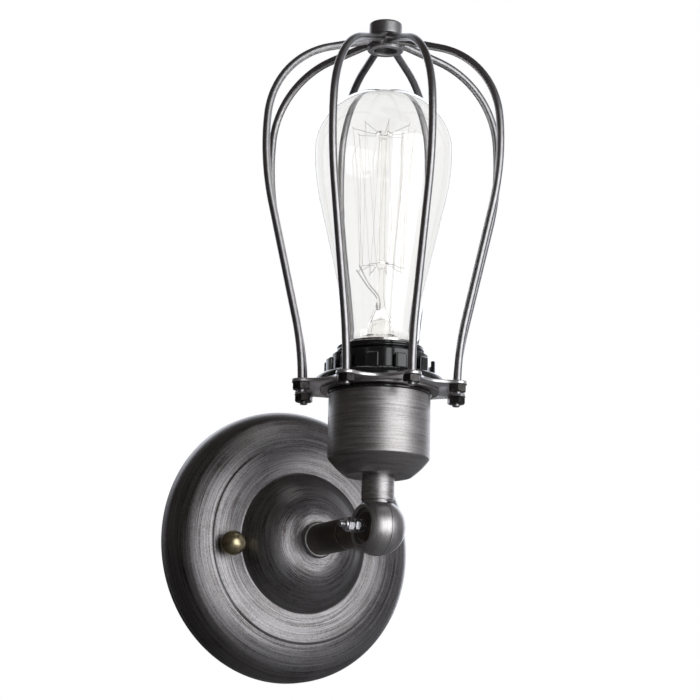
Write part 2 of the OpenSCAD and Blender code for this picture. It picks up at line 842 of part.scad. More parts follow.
// flat pressed plate with one rounded ear for each bar
module cage_plate() {
    color([0.78, 0.78, 0.8])
    at_swivel() translate([0, 0, plate_z]) linear_extrude(plate_t) difference() {
        union() {
            difference() {
                circle(r = foot_r);
                around_cage() rotate([0, 0, half_gap]) translate([0, -bite_at]) circle(r = bite_r);
            }
            around_cage() translate([0, -foot_r]) circle(r = ear_r);
        }
        circle(r = sleeve_r + thread_gap);
        around_cage() translate([0, -foot_r]) circle(r = bar_r + fit);
    }
}

// threaded ring with a domed flange and a ring of lugs for the fingers
module ring_nut() {
    bore = sleeve_r + thread_gap;
    dome_r = ring_nut_r - dome_top_r;
    dome_h = ring_dome_h - dome_edge_h;
    dome = [for (i = [0 : 8]) let (a = 90 * i / 8)
        [dome_top_r + dome_r * cos(a), dome_edge_h + dome_h * sin(a)]];
    crown_in = crown_r - crown_t;
    color([0.05, 0.05, 0.05])
    at_swivel() translate([0, 0, plate_top_z]) difference() {
        rotate_extrude() polygon(concat([[bore, 0], [ring_nut_r, 0]], dome,
            [[crown_r, ring_dome_h], [crown_r, crown_h], [crown_in, crown_h],
             [crown_in, crown_floor_h], [collar_ring_r, crown_floor_h],
             [collar_ring_r, collar_ring_h], [bore, collar_ring_h]]));
        for (i = [0 : crown_n - 1]) rotate([0, 0, cage_turn + (i + 0.5) * 360 / crown_n])
            translate([-crown_gap / 2, crown_in - 0.3, crown_floor_h])
                cube([crown_gap, crown_r, crown_h]);
    }
}

// centre line of a bar as [radius, height], bend by bend
flare_c = [foot_r + flare_r, plate_z];
belly_c = [belly_r - belly_bend, plate_top_z + belly_h];
bar_slant = slant_between(flare_c, flare_r, belly_c, belly_bend);
flare_end = flare_c - flare_r * [cos(bar_slant), -sin(bar_slant)];
belly_start = belly_c + belly_bend * [cos(bar_slant), -sin(bar_slant)];
shoulder_c = belly_c + (belly_bend - shoulder_bend) * [cos(belly_turn), sin(belly_turn)];
hub_turn = 90 - hub_slant;
shoulder_end = shoulder_c + shoulder_bend * [cos(hub_turn), sin(hub_turn)];
bar_top_l = (shoulder_end[0] - hub_r / 2) / sin(hub_turn);
bar_hub_z = shoulder_end[1] + (shoulder_end[0] - hub_r) / tan(hub_turn);
hub_z = bar_hub_z - hub_below;

// a bend of a bar about c, in the plane of x and z, its ends run on by the length lap
module bar_bend(c, r, from, to, lap) {
    more = lap / r * 180 / PI;
    translate([c[0], 0, c[1]]) rotate([90, 0, 0]) rotate([0, 0, from - more])
        rotate_extrude(angle = to - from + 2 * more)
            translate([r, 0]) circle(r = lap > 0 ? bar_r - bar_step : bar_r);
}

// bar number i, counted from the front and on round towards +X
module cage_bar(i) {
    color([0.32, 0.32, 0.33])
    at_swivel() rotate([0, 0, cage_turn + (i - 1) * ear_gap_angle - 90]) difference() {
        union() {
            translate([foot_r, 0, foot_low_z]) cylinder(h = plate_z - foot_low_z, r = bar_r);
            bar_bend(flare_c, flare_r, 180 - bar_slant, 180, bar_lap);
            rod([flare_end[0], 0, flare_end[1]], [belly_start[0], 0, belly_start[1]], bar_r);
            bar_bend(belly_c, belly_bend, -bar_slant, belly_turn, bar_lap);
            bar_bend(shoulder_c, shoulder_bend, belly_turn, hub_turn, 0);
            translate([shoulder_end[0], 0, shoulder_end[1]]) rotate([0, -hub_turn, 0])
                translate([0, 0, -bar_lap]) cylinder(h = bar_top_l + bar_lap, r = bar_r - bar_step);
        }
        translate([0, 0, hub_z - 2]) cylinder(h = 3 * hub_h, r = hub_r + hub_fit);
    }
}

module cage_bar_1() { cage_bar(1); }
module cage_bar_2() { cage_bar(2); }
module cage_bar_3() { cage_bar(3); }
module cage_bar_4() { cage_bar(4); }
module cage_bar_5() { cage_bar(5); }
module cage_bar_6() { cage_bar(6); }
module cage_bar_7() { cage_bar(7); }
module cage_bar_8() { cage_bar(8); }

module bar_nuts() {
    color([0.12, 0.12, 0.12])
    at_swivel() around_cage() translate([0, -foot_r, plate_z - bar_nut_h])
        hex_nut(bar_nut_h, bar_nut_af, bar_r + fit);
}

module cage_hub() {
    color([0.3, 0.3, 0.3])
    at_swivel() translate([0, 0, hub_z]) tube(hub_h, hub_r, hub_hole_r);
}

// turned knob whose short thread screws into the hub from above
module hub_knob() {
    knob = concat([[0, 0], [hub_r, 0]], arc([hub_r - knob_edge, knob_h - knob_edge], knob_edge, 0, 90, 5),
        [[0, knob_h]]);
    color([0.3, 0.3, 0.3])
    at_swivel() translate([0, 0, hub_z + hub_h]) {
        rotate_extrude() polygon(knob);
        translate([0, 0, -knob_spigot_h]) cylinder(h = knob_spigot_h + 1, r = hub_hole_r - fit);
    }
}

// ---- lamp ----
// the glass's outline from its foot to its top, as [radius, height]
neck_c = [neck_r + neck_bend, neck_z];
glass_c = [glass_r - glass_bend, glass_z];
glass_slant = slant_between(neck_c, neck_bend, glass_c, glass_bend);
foot_curve = neck_r - glass_foot_r;
glass_skin = concat(
    [[glass_foot_r, glass_foot_z]],
    arc([glass_foot_r, neck_z], foot_curve, -90, 0, 5),
    arc(neck_c, neck_bend, 180, 180 - glass_slant, 4),
    arc(glass_c, glass_bend, -glass_slant, 0, 6),
    [for (i = [1 : 15]) let (a = 84 * i / 15) [glass_r * cos(a), glass_z + dome_h * sin(a)]]);
dome_top = glass_z + dome_h;

module lamp_glass() {
    color([0.85, 0.8, 0.7, 0.35])
    at_swivel() rotate_extrude() polygon(concat(glass_skin, [[0, dome_top], [0, dome_top - glass_t]],
        reversed(beside(glass_skin, glass_t))));
}

// glass foot that closes the neck, with the post and its two buttons
module lamp_stem() {
    outer = [[glass_foot_r - glass_t - fit, glass_foot_z], [stem_r, glass_foot_z + stem_t],
        [stem_r, stem_shoulder_z], [post_r, pinch_z]];
    color([0.8, 0.85, 0.85, 0.5])
    at_swivel() rotate_extrude() polygon([outer[0], outer[0] + [0, stem_t],
        [stem_r, glass_foot_z + 2 * stem_t], outer[2], outer[3],
        [post_r, lower_button_z], [lower_button_r, lower_button_z],
        [lower_button_r, lower_button_z + button_h], [post_r, lower_button_z + button_h],
        [post_r, upper_button_z], [upper_button_r, upper_button_z],
        [upper_button_r, upper_button_z + button_h], [0, upper_button_z + button_h],
        [0, pinch_z - 2], [stem_r - stem_t, stem_shoulder_z - stem_t],
        [stem_r - stem_t, glass_foot_z]]);
}

cap_skin = [[insulator_top_r, cap_low_z], [cap_r, cap_low_z + 2], [cap_r, cap_skirt_z],
    [cap_skirt_r, cap_skirt_z + 1], [cap_skirt_r, cap_rim_z]];

module lamp_cap() {
    color([0.72, 0.68, 0.6])
    at_swivel() rotate_extrude() polygon(concat(cap_skin, reversed(beside(cap_skin, cap_t))));
}

module lamp_insulator() {
    color([0.05, 0.05, 0.06])
    at_swivel() translate([0, 0, insulator_z])
        cylinder(h = cap_low_z - insulator_z, r1 = insulator_low_r, r2 = insulator_top_r);
}

module lamp_contact() {
    color("silver")
    at_swivel() translate([0, 0, lamp_z]) cylinder(h = insulator_z - lamp_z, r = contact_dot_r);
}

function on_ring(r, a, z) = [r * sin(a), -r * cos(a), z];
function upper_hook(i) = on_ring(upper_hook_r, (i + 0.5) * 360 / hooks, upper_button_z + button_h / 2 + hook_rise);
function lower_hook(i) = on_ring(lower_hook_r, i * 360 / hooks, lower_button_z + button_h / 2 - hook_rise);

// radiating wires with turned-up tips, set in the two buttons
module lamp_hooks() {
    color("slategray")
    at_swivel() for (i = [0 : hooks - 1]) {
        up = upper_hook(i);
        down = lower_hook(i);
        wire([on_ring(upper_button_r, (i + 0.5) * 360 / hooks, upper_button_z + button_h / 2),
            up, up + [0, 0, hook_tip]], hook_wire_r);
        wire([on_ring(lower_button_r, i * 360 / hooks, lower_button_z + button_h / 2),
            down, down - [0, 0, hook_tip]], hook_wire_r);
    }
}

module lamp_leads() {
    color("slategray")
    at_swivel() for (side = [-1, 1])
        wire([on_ring(post_r + lead_wire_r, 90 * side - 60, pinch_z + 0.2),
            on_ring(post_r + 1, 90 * side - 60, pinch_z + 5),
            on_ring(lead_top_r, 22.5 * side - 60, lower_button_z - 1)], lead_wire_r);
}

// fine threads that zigzag between the lower and the upper hooks
module lamp_filament() {
    color([0.75, 0.5, 0.25])
    at_swivel() for (i = [0 : hooks - 1], step = [0, 1]) {
        low = lower_hook(i + step);
        high = upper_hook(i);
        along = (high - low) / norm(high - low);
        rod(low + (hook_wire_r + filament_gap) * along,
            high - (hook_wire_r + filament_gap) * along, filament_r);
    }
}

canopy();
crossbar();
mounting_studs();
stud_lock_nuts();
ball_nuts();
earth_screw();
terminal_block();
terminal_screws();
arm_nipple();
arm_lock_washer();
arm_lock_nut();
arm_collar();
arm_sleeve();
swivel_arm_half();
arm_leads();
swivel_head_half();
clamp_bolt();
clamp_washer();
clamp_nuts();
spring_washer();
clamp_lock_nut();
neck_nipple();
neck_lock_washer();
neck_lock_nut();
socket_cup();
holder_base();
holder_sleeve();
holder_shell();
holder_contact();
holder_terminals();
holder_screws();
head_leads();
seat_washer();
cage_plate();
ring_nut();
cage_bar_1();
cage_bar_2();
cage_bar_3();
cage_bar_4();
cage_bar_5();
cage_bar_6();
cage_bar_7();
cage_bar_8();
bar_nuts();
cage_hub();
hub_knob();
lamp_glass();
lamp_stem();
lamp_cap();
lamp_insulator();
lamp_contact();
lamp_hooks();
lamp_leads();
lamp_filament();
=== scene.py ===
"""Looks of a cage wall light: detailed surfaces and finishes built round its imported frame.

All sizes in the classes are millimetres. The wall is the plane y = 0, the light stands out along -Y,
and the head turns about a line along X through (0, -REACH, 0).
"""

import json
import logging
import math
from dataclasses import dataclass, field, replace
from enum import Enum

import bmesh
import bpy
import numpy as np
from mathutils import Matrix


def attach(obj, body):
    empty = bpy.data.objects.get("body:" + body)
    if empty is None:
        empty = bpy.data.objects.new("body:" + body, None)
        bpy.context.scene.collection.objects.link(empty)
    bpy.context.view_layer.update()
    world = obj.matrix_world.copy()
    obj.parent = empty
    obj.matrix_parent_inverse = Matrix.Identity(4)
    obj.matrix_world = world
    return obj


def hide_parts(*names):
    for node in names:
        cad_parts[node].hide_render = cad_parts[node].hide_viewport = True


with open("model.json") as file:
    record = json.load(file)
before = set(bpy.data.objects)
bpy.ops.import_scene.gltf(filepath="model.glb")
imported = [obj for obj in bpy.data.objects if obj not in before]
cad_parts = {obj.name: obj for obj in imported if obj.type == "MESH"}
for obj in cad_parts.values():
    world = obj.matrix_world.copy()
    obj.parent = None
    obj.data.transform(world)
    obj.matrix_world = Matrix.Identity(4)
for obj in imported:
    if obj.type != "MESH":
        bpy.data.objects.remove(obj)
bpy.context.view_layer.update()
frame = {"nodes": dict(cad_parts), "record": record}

MM = 0.001
REACH = 85.0
TAU = 2.0 * math.pi
LOG = logging.getLogger("cage_wall_light")

Point = tuple[float, float, float]
Colour = tuple[float, float, float]
Number = float | np.ndarray


class Body(Enum):
    """What a piece rides on: the wall's side of the swivel, or the head that turns."""

    WALL = "fixed"
    HEAD = "head"


class Slot(Enum):
    """The record's material slots that new pieces take their finish from."""

    PEWTER = "antique_pewter"
    OLD_BRASS = "antique_brass"
    RAW_BRASS = "raw_brass"
    ZINC = "zinc_plated"
    CHROME = "chrome_bolt"
    BLACK_STEEL = "blackened_steel"
    GUNMETAL = "gunmetal"
    NICKEL = "bright_nickel"
    BAKELITE = "bakelite"
    GLASS = "clear_glass"
    STEM_GLASS = "stem_glass"
    CAP = "cap_nickel"
    SUPPORT = "support_wire"
    FILAMENT = "filament"
    SHEATH = "wire_sheath"


class Axis(Enum):
    """A line that turned pieces are built round: where local x, y and z point, and the origin."""

    OUT = ((1, 0, 0), (0, 0, 1), (0, -1, 0), (0, 0, 0))
    UP = ((1, 0, 0), (0, 1, 0), (0, 0, 1), (0, -REACH, 0))
    SIDE = ((0, 0, 1), (0, 1, 0), (-1, 0, 0), (0, -REACH, 0))
    BACK = ((1, 0, 0), (0, 0, -1), (0, 1, 0), (0, -REACH, 0))

    @property
    def components(self) -> tuple[int, int, int]:
        """Which two of x, y and z run across the axis, and which runs along it."""
        return {Axis.OUT: (0, 2, 1), Axis.BACK: (0, 2, 1), Axis.UP: (0, 1, 2), Axis.SIDE: (1, 2, 0)}[self]

    def place(self, points: np.ndarray) -> np.ndarray:
        """Turns local points (x, y, z) in millimetres into the frame's metres: x·X + y·Y + z·Z + origin."""
        basis = np.array(self.value[:3], float)
        return (points @ basis + np.array(self.value[3], float)) * MM


# ---------------------------------------------------------------- surfaces


def polar(radius: Number, angle: np.ndarray, height: Number) -> np.ndarray:
    """Points at a radius and angle round z: (r cos a, r sin a, h)."""
    return np.stack(np.broadcast_arrays(radius * np.cos(angle), radius * np.sin(angle), height), -1)


def arc(centre: tuple[float, float], radius: float, start: float, stop: float, steps: int = 12) -> np.ndarray:
    """Points on a circle in the profile plane, from one angle to another in degrees."""
    a = np.radians(np.linspace(start, stop, steps + 1))
    return np.stack([centre[0] + radius * np.cos(a), centre[1] + radius * np.sin(a)], -1)


def along(path: np.ndarray) -> np.ndarray:
    """Distance from the start to each point of a path: the running sum of its steps."""
    return np.concatenate([[0.0], np.cumsum(np.linalg.norm(np.diff(path, axis=0), axis=1))])


def soften(profile: np.ndarray, radius: float, closed: bool = False, gap: float = 4.0) -> np.ndarray:
    """Rounds a profile's corners as a turner breaks an edge.

    The profile is sampled every third of the radius, each sample becomes the bell-weighted mean of
    its neighbours, and samples are then kept where the line has turned 5 degrees or run one gap.

    Args:
        profile: points (radius, height) from end to end.
        radius: how far the rounding reaches from a corner.
        closed: whether the last point joins the first.
        gap: the longest step left on a straight stretch.

    Returns:
        The rounded profile. Open ends stay where they were.
    """
    path = np.vstack([profile, profile[:1]]) if closed else profile
    length = along(path)
    count = max(int(length[-1] / (radius / 3.0)), 8)
    at = np.linspace(0.0, length[-1], count + 1)
    fine = np.stack([np.interp(at, length, path[:, k]) for k in range(2)], -1)
    reach = 6
    weight = np.exp(-0.5 * (np.arange(-reach, reach + 1) / 2.0) ** 2)
    weight /= weight.sum()
    if closed:
        padded = np.vstack([fine[-reach - 1 : -1], fine, fine[1 : reach + 1]])
    else:
        before, after = 2 * fine[0] - fine[reach:0:-1], 2 * fine[-1] - fine[-2 : -reach - 2 : -1]
        padded = np.vstack([before, fine, after])
    smooth = np.stack([np.convolve(padded[:, k], weight, "valid") for k in range(2)], -1)
    step = np.diff(smooth, axis=0)
    turn = np.abs(np.diff(np.unwrap(np.arctan2(step[:, 1], step[:, 0])), append=0.0))
    turn[-1] = 0.0
    spent = np.cumsum(turn / math.radians(5.0) + np.linalg.norm(step, axis=1) / gap)
    keep = np.concatenate([[True], np.diff(np.floor(spent)) > 0, [True]])
    return smooth[keep]


def lathe(profile: np.ndarray, steps: int = 128) -> np.ndarray:
    """A profile turned round z: each point (r, h) becomes the circle (r cos a, r sin a, h)."""
    angle = np.linspace(0.0, TAU, steps + 1)
    return polar(profile[:, :1], angle[None, :], profile[:, 1:])


def ring(profile: np.ndarray, radius: float = 0.25, steps: int = 128) -> np.ndarray:
    """A closed profile with softened corners, turned round z."""
    return lathe(soften(profile, radius, closed=True), steps)


def offset_wall(skin: np.ndarray, wall: float) -> np.ndarray:
    """A sheet's closed profile: the skin, and the skin moved along its own normals by the wall.

    Args:
        skin: the outer profile, points (radius, height).
        wall: the sheet's thickness.

    Returns:
        The outer profile followed by the inner one, in reverse.
    """
    slope = np.gradient(skin, axis=0)
    normal = np.stack([-slope[:, 1], slope[:, 0]], -1)
    normal /= np.linalg.norm(normal, axis=1, keepdims=True)
    return np.vstack([skin, (skin + wall * normal)[::-1]])


def frames(path: np.ndarray) -> tuple[np.ndarray, np.ndarray]:
    """Two directions across a path at every point, by crossing its direction with a fixed guide.

    Args:
        path: points of a smooth line.

    Returns:
        Unit vectors a and b, square to the path's own direction and to each other.
    """
    direction = np.gradient(path, axis=0)
    direction /= np.linalg.norm(direction, axis=1, keepdims=True)
    upright = np.abs(direction[:, 2]).max() < 0.9
    guide = np.array([0.0, 0.0, 1.0]) if upright else np.array([0.31, 0.95, 0.05])
    a = np.cross(direction, guide)
    a /= np.linalg.norm(a, axis=1, keepdims=True)
    return a, np.cross(direction, a)


def close_ends(rows: np.ndarray) -> np.ndarray:
    """Rows of points with a row at each end drawn in to one point, the end row's middle."""
    ends = [np.repeat(rows[k].mean(0)[None, None], rows.shape[1], 1) for k in (0, -1)]
    return np.concatenate([ends[0], rows, ends[1]])


def tube(path: np.ndarray, radius: Number, sides: int = 12) -> np.ndarray:
    """A round wire along a path: point + r (a cos t + b sin t), drawn in to a point at both ends.

    Args:
        path: points of the centre line.
        radius: one radius, or one for each point.
        sides: steps round the wire.

    Returns:
        The closed surface as a grid.
    """
    a, b = frames(path)
    t = np.linspace(0.0, TAU, sides + 1)[None, :, None]
    r = np.broadcast_to(radius, len(path))[:, None, None]
    body = path[:, None] + r * (a[:, None] * np.cos(t) + b[:, None] * np.sin(t))
    ends = [np.repeat(point[None, None], sides + 1, 1) for point in (path[0], path[-1])]
    return np.concatenate([ends[0], body, ends[1]])


def smooth_path(points: list[Point], steps: int = 8) -> np.ndarray:
    """A smooth line through points: on each span, the cubic whose slopes follow the neighbours.

    Args:
        points: the points that the line goes through.
        steps: steps on each span.

    Returns:
        Points along 0.5 (2 p1 + (p2 - p0) t + (2 p0 - 5 p1 + 4 p2 - p3) t² + (3 p1 - p0 - 3 p2 + p3) t³).
    """
    p = np.array([points[0], *points, points[-1]], float)
    t = np.linspace(0.0, 1.0, steps, endpoint=False)[None, :, None]
    p0, p1, p2, p3 = (p[k : len(p) - 3 + k, None] for k in range(4))
    square = (2 * p0 - 5 * p1 + 4 * p2 - p3) * t**2
    cube = (3 * p1 - p0 - 3 * p2 + p3) * t**3
    cubic = 0.5 * (2 * p1 + (p2 - p0) * t + square + cube)
    return np.vstack([cubic.reshape(-1, 3), p[-1:]])


def thread(
    crest: float, low: float, high: float, pitch: float, depth: float, bore: float = 0.0, sides: int = 48
) -> np.ndarray:
    """A screw thread: the radius is the crest less the depth times a rounded saw of height and angle.

    Args:
        crest: outer radius.
        low: height of the lower end.
        high: height of the upper end.
        pitch: rise of one turn.
        depth: height of the thread.
        bore: radius of a hole right through, or 0.
        sides: steps round the axis.

    Returns:
        The surface as a grid, with both end faces.
    """
    rows = max(int((high - low) / pitch * 8), 12)
    h = np.linspace(low, high, rows)[:, None]
    a = np.linspace(0.0, TAU, sides + 1)[None, :]
    saw = 0.5 - 0.5 * np.cos(TAU * (h / pitch - a / TAU))
    end = np.clip(np.minimum(h - low, high - h) / pitch, 0.0, 1.0)
    body = polar(crest - depth * (1.0 - end * saw), a, h)
    caps = [polar(bore, a, z) for z in (low, high)]
    return np.concatenate([caps[0], body, caps[1]] + ([caps[0]] if bore else []))


def hex_nut(
    flats: float, low: float, high: float, bore: float, collar: float = 0.0, steps: int = 96
) -> np.ndarray:
    """A nut: a hexagon whose corners are cut by a cone at both ends.

    The hexagon's radius at an angle is half the flats over the cosine of the angle from the flat's
    middle, and the cone takes (radius - 0.97 half flats) / 1.7 off the height there.

    Args:
        flats: width across the flats.
        low: height of one face.
        high: height of the other face.
        bore: radius of the hole.
        collar: height of a round collar on the far face, as a locking nut has, or 0.
        steps: steps round the axis.

    Returns:
        The surface as a grid, closed through the hole.
    """
    a = np.linspace(0.0, TAU, steps + 1)
    half = flats / 2.0
    face = half * 0.95
    corner = half / np.cos((a + math.pi / 6) % (math.pi / 3) - math.pi / 6)
    cut = np.maximum(corner - 0.97 * half, 0.0) / 1.7
    rows = [(bore, low), (face, low), (corner, low + cut), (corner, high - cut), (face, high)]
    if collar:
        outer, inner = 0.86 * half, 0.7 * half
        rows += [(outer, high), (outer, high + collar * 0.6), (inner, high + collar)]
    rows += [(bore, high + collar), (bore, low)]
    return np.stack([polar(r, a, h) for r, h in rows])


def toothed_washer(bore: float, radius: float, low: float, high: float, teeth: int = 12) -> np.ndarray:
    """A thin ring whose rim is cut into teeth, each with a slight twist.

    The rim is radius - 0.6 + 0.6 clip(4 sin(teeth a)), clipped to -1 and 1, and its height leans by
    0.2 sin(teeth a).

    Args:
        bore: radius of the hole.
        radius: radius over the teeth.
        low: height of one face.
        high: height of the other face.
        teeth: number of teeth.

    Returns:
        The surface as a grid, closed through the hole.
    """
    a = np.linspace(0.0, TAU, teeth * 16 + 1)
    tooth = 0.6
    rim = radius - tooth + tooth * np.clip(np.sin(a * teeth) * 4.0, -1.0, 1.0)
    root = rim - 1.4
    tilt = 0.2 * np.sin(a * teeth)
    lo, hi = low + 0.2, high - 0.2
    rows = [(bore, lo), (root, lo), (rim, lo + tilt), (rim, hi + tilt), (root, hi), (bore, hi), (bore, lo)]
    return np.stack([polar(r, a, h) for r, h in rows])


def slant(first: np.ndarray, second: np.ndarray, radii: float) -> float:
    """Degrees off upright of the line that two circles touch on opposite sides: atan + asin(radii / gap)."""
    gap = second - first
    return math.degrees(math.atan2(gap[0], gap[1]) + math.asin(radii / np.linalg.norm(gap)))


def turned(grid: np.ndarray, angle: float, shift: Point = (0.0, 0.0, 0.0)) -> np.ndarray:
    """A grid turned about z by an angle in radians and then moved."""
    c, s = math.cos(angle), math.sin(angle)
    return grid @ np.array([[c, s, 0], [-s, c, 0], [0, 0, 1]]) + np.array(shift, float)


# ---------------------------------------------------------------- finishes


class Graph:
    """A material's or world's node tree, with short calls that make and join nodes."""

    def __init__(self, owner: bpy.types.Material | bpy.types.World) -> None:
        """Takes over a node tree, emptied.

        Args:
            owner: the material or world that the tree belongs to.
        """
        owner.use_nodes = True
        self.owner, self.tree = owner, owner.node_tree
        self.tree.nodes.clear()

    def node(self, kind: str, sockets: dict | None = None, **settings: object) -> bpy.types.Node:
        """Adds a node.

        Args:
            kind: the node's type name without its prefix.
            sockets: input name or number to a value or to another node's output.
            settings: properties of the node.

        Returns:
            The new node.
        """
        made = self.tree.nodes.new("ShaderNode" + kind)
        for key, value in settings.items():
            setattr(made, key, value)
        for key, value in (sockets or {}).items():
            if isinstance(value, bpy.types.NodeSocket):
                self.tree.links.new(value, made.inputs[key])
            else:
                made.inputs[key].default_value = value
        return made

    def place(self) -> bpy.types.NodeSocket:
        """The point's object coordinates, in metres."""
        return self.node("TexCoord").outputs["Object"]

    def seen(self) -> bpy.types.NodeSocket:
        """1 for rays from the camera or through glass, 0 for the rest."""
        path = self.node("LightPath").outputs
        return self.math("MAXIMUM", path["Is Camera Ray"], path["Is Transmission Ray"])

    def math(self, operation: str, a: object, b: object = 0.0) -> bpy.types.NodeSocket:
        """The result of one sum on two numbers."""
        return self.node("Math", {0: a, 1: b}, operation=operation).outputs[0]

    def weighted(self, *terms: tuple[object, float]) -> bpy.types.NodeSocket:
        """The sum of numbers, each times its weight.

        Args:
            terms: pairs of a node's output and its weight.

        Returns:
            The last node's output.
        """
        total = self.math("MULTIPLY", *terms[0])
        for value, weight in terms[1:]:
            total = self.node("Math", {0: value, 1: weight, 2: total}, operation="MULTIPLY_ADD").outputs[0]
        return total

    def reach(self, u: object, v: object) -> bpy.types.NodeSocket:
        """The distance from an axis: sqrt(u² + v²)."""
        return self.math("SQRT", self.math("ADD", self.math("MULTIPLY", u, u), self.math("MULTIPLY", v, v)))

    def noise(self, vector: object, scale: float, detail: float = 3.0) -> bpy.types.NodeSocket:
        """Cloudy noise, 0 to 1, on a vector."""
        sockets = {"Vector": vector, "Scale": scale, "Detail": detail, "Roughness": 0.6}
        return self.node("TexNoise", sockets).outputs["Fac"]

    def fit(
        self, value: object, low: float, high: float, out_low: float = 0.0, out_high: float = 1.0
    ) -> bpy.types.NodeSocket:
        """A number's range moved to another range, held at its ends."""
        return self.node("MapRange", {0: value, 1: low, 2: high, 3: out_low, 4: out_high}).outputs[0]

    def blend(self, factor: object, a: object, b: object, mode: str = "MIX") -> bpy.types.NodeSocket:
        """Two colours mixed by a factor.

        Args:
            factor: 0 for the first colour, 1 for the second.
            a: the first colour, or a node's output.
            b: the second colour, or a node's output.
            mode: MIX, or ADD to add the second colour to the first.

        Returns:
            The mixed colour.
        """
        made = self.node("Mix", data_type="RGBA", blend_type=mode)
        for key, value in ((0, factor), (6, a), (7, b)):
            if isinstance(value, bpy.types.NodeSocket):
                self.tree.links.new(value, made.inputs[key])
            else:
                made.inputs[key].default_value = (*value, 1.0) if key else value
        return made.outputs[2]

    def bump(self, height: object, distance: float, strength: float) -> bpy.types.NodeSocket:
        """A normal tilted by a height map, whose full height is the distance in metres."""
        return self.node("Bump", {"Height": height, "Distance": distance, "Strength": strength}).outputs[0]

    def surface(self, sockets: dict) -> bpy.types.Material:
        """Ends the tree in one Principled surface.

        Args:
            sockets: the shader's input names to values or to other nodes' outputs.

        Returns:
            The material.
        """
        shader = self.node("BsdfPrincipled", sockets)
        self.node("OutputMaterial", {0: shader.outputs[0]})
        return self.owner


@dataclass(frozen=True)
class TurnedMetal:
    """Plated metal brushed on a lathe: fine streaks that run round an axis.

    A layer of streaks is its turns round the axis, its size against the streak's, and its detail.
    """

    name: str = "antique_pewter"
    axis: Axis = Axis.OUT
    dark: Colour = (0.15, 0.135, 0.13)
    light: Colour = (0.62, 0.612, 0.612)
    patina: Colour = (0.17, 0.135, 0.12)
    roughness: float = 0.36
    streak: float = 0.4
    depth: float = 0.65
    lift: float = 0.0
    anisotropy: float = 0.5
    layers: tuple[tuple[float, float, float], ...] = ((0.7, 6.0, 2.0), (1.0, 1.6, 3.0), (1.6, 0.7, 3.0))
    middle: float = 1.78
    spread: float = 0.3

    def material(self) -> bpy.types.Material:
        """Makes the material.

        A streak is noise on (n u / r, n v / r, (r + 0.9 w) / size), where u and v run across the axis,
        w along it, r = sqrt(u² + v²), and n is the layer's turns.

        Returns:
            The material, named for the finish and its axis.
        """
        g = Graph(bpy.data.materials.new(f"{self.name}_{self.axis.name.lower()}"))
        centre = tuple(-c * MM for c in self.axis.value[3])
        place = g.node("Mapping", {0: g.place(), 1: centre}).outputs[0]
        split = g.node("SeparateXYZ", {0: place}).outputs
        u, v, w = (split[k] for k in self.axis.components)
        radius = g.reach(u, v)
        safe = g.math("MAXIMUM", radius, 1e-5)
        travel = g.math("ADD", radius, g.math("MULTIPLY", w, 0.9))
        streaks = []
        for turns, size, detail in self.layers:
            round_it = [g.math("MULTIPLY", g.math("DIVIDE", side, safe), turns) for side in (u, v)]
            across = g.math("MULTIPLY", travel, 1.0 / (self.streak * size * MM))
            vector = g.node("CombineXYZ", {0: round_it[0], 1: round_it[1], 2: across}).outputs[0]
            streaks.append(g.noise(vector, 1.0, detail))
        broad, middle, fine = streaks
        cloud, speck = g.noise(place, 55.0), g.noise(place, 1300.0, 2.0)
        mixed = g.weighted((broad, 0.5), (middle, 0.9), (fine, 1.1), (cloud, 0.6), (speck, 0.5))
        level, half = self.middle - self.lift, self.spread / self.depth
        colour = g.blend(g.fit(mixed, level - half, level + half), self.dark, self.light)
        stain = g.fit(g.weighted((cloud, 0.7), (broad, 0.3)), 0.46, 0.62, 0.0, 0.3)
        height = g.weighted((middle, 0.5), (fine, 0.5))
        sockets = {
            "Base Color": g.blend(stain, colour, self.patina),
            "Metallic": 1.0,
            "Roughness": g.fit(middle, 0.3, 0.7, self.roughness - 0.04, self.roughness + 0.08),
            "Normal": g.bump(height, 0.00005, 0.6 * self.depth),
            "Anisotropic": self.anisotropy,
        }
        if self.anisotropy:
            sockets["Tangent"] = g.node("Tangent", direction_type="UV_MAP", uv_map="UVMap").outputs[0]
        return g.surface(sockets)


@dataclass(frozen=True)
class DrawnMetal:
    """Smooth metal with faint clouds, fine scratches and a slightly uneven skin."""

    name: str
    dark: Colour
    light: Colour
    roughness: float = 0.28
    spread: float = 0.08
    grain: float = 900.0
    dent: float = 0.00002
    metallic: float = 1.0

    def material(self) -> bpy.types.Material:
        """Makes the material: the colour follows coarse and fine noise, and the gloss the fine noise.

        Returns:
            The material, named for the finish.
        """
        g = Graph(bpy.data.materials.new(self.name))
        place = g.place()
        coarse, fine = g.noise(place, self.grain * 0.2), g.noise(place, self.grain, 4.0)
        both = g.weighted((coarse, 0.6), (fine, 0.4))
        return g.surface({
            "Base Color": g.blend(g.fit(both, 0.38, 0.62), self.dark, self.light),
            "Metallic": self.metallic,
            "Roughness": g.fit(fine, 0.3, 0.7, self.roughness - self.spread, self.roughness + self.spread),
            "Normal": g.bump(both, self.dent, 0.6),
        })


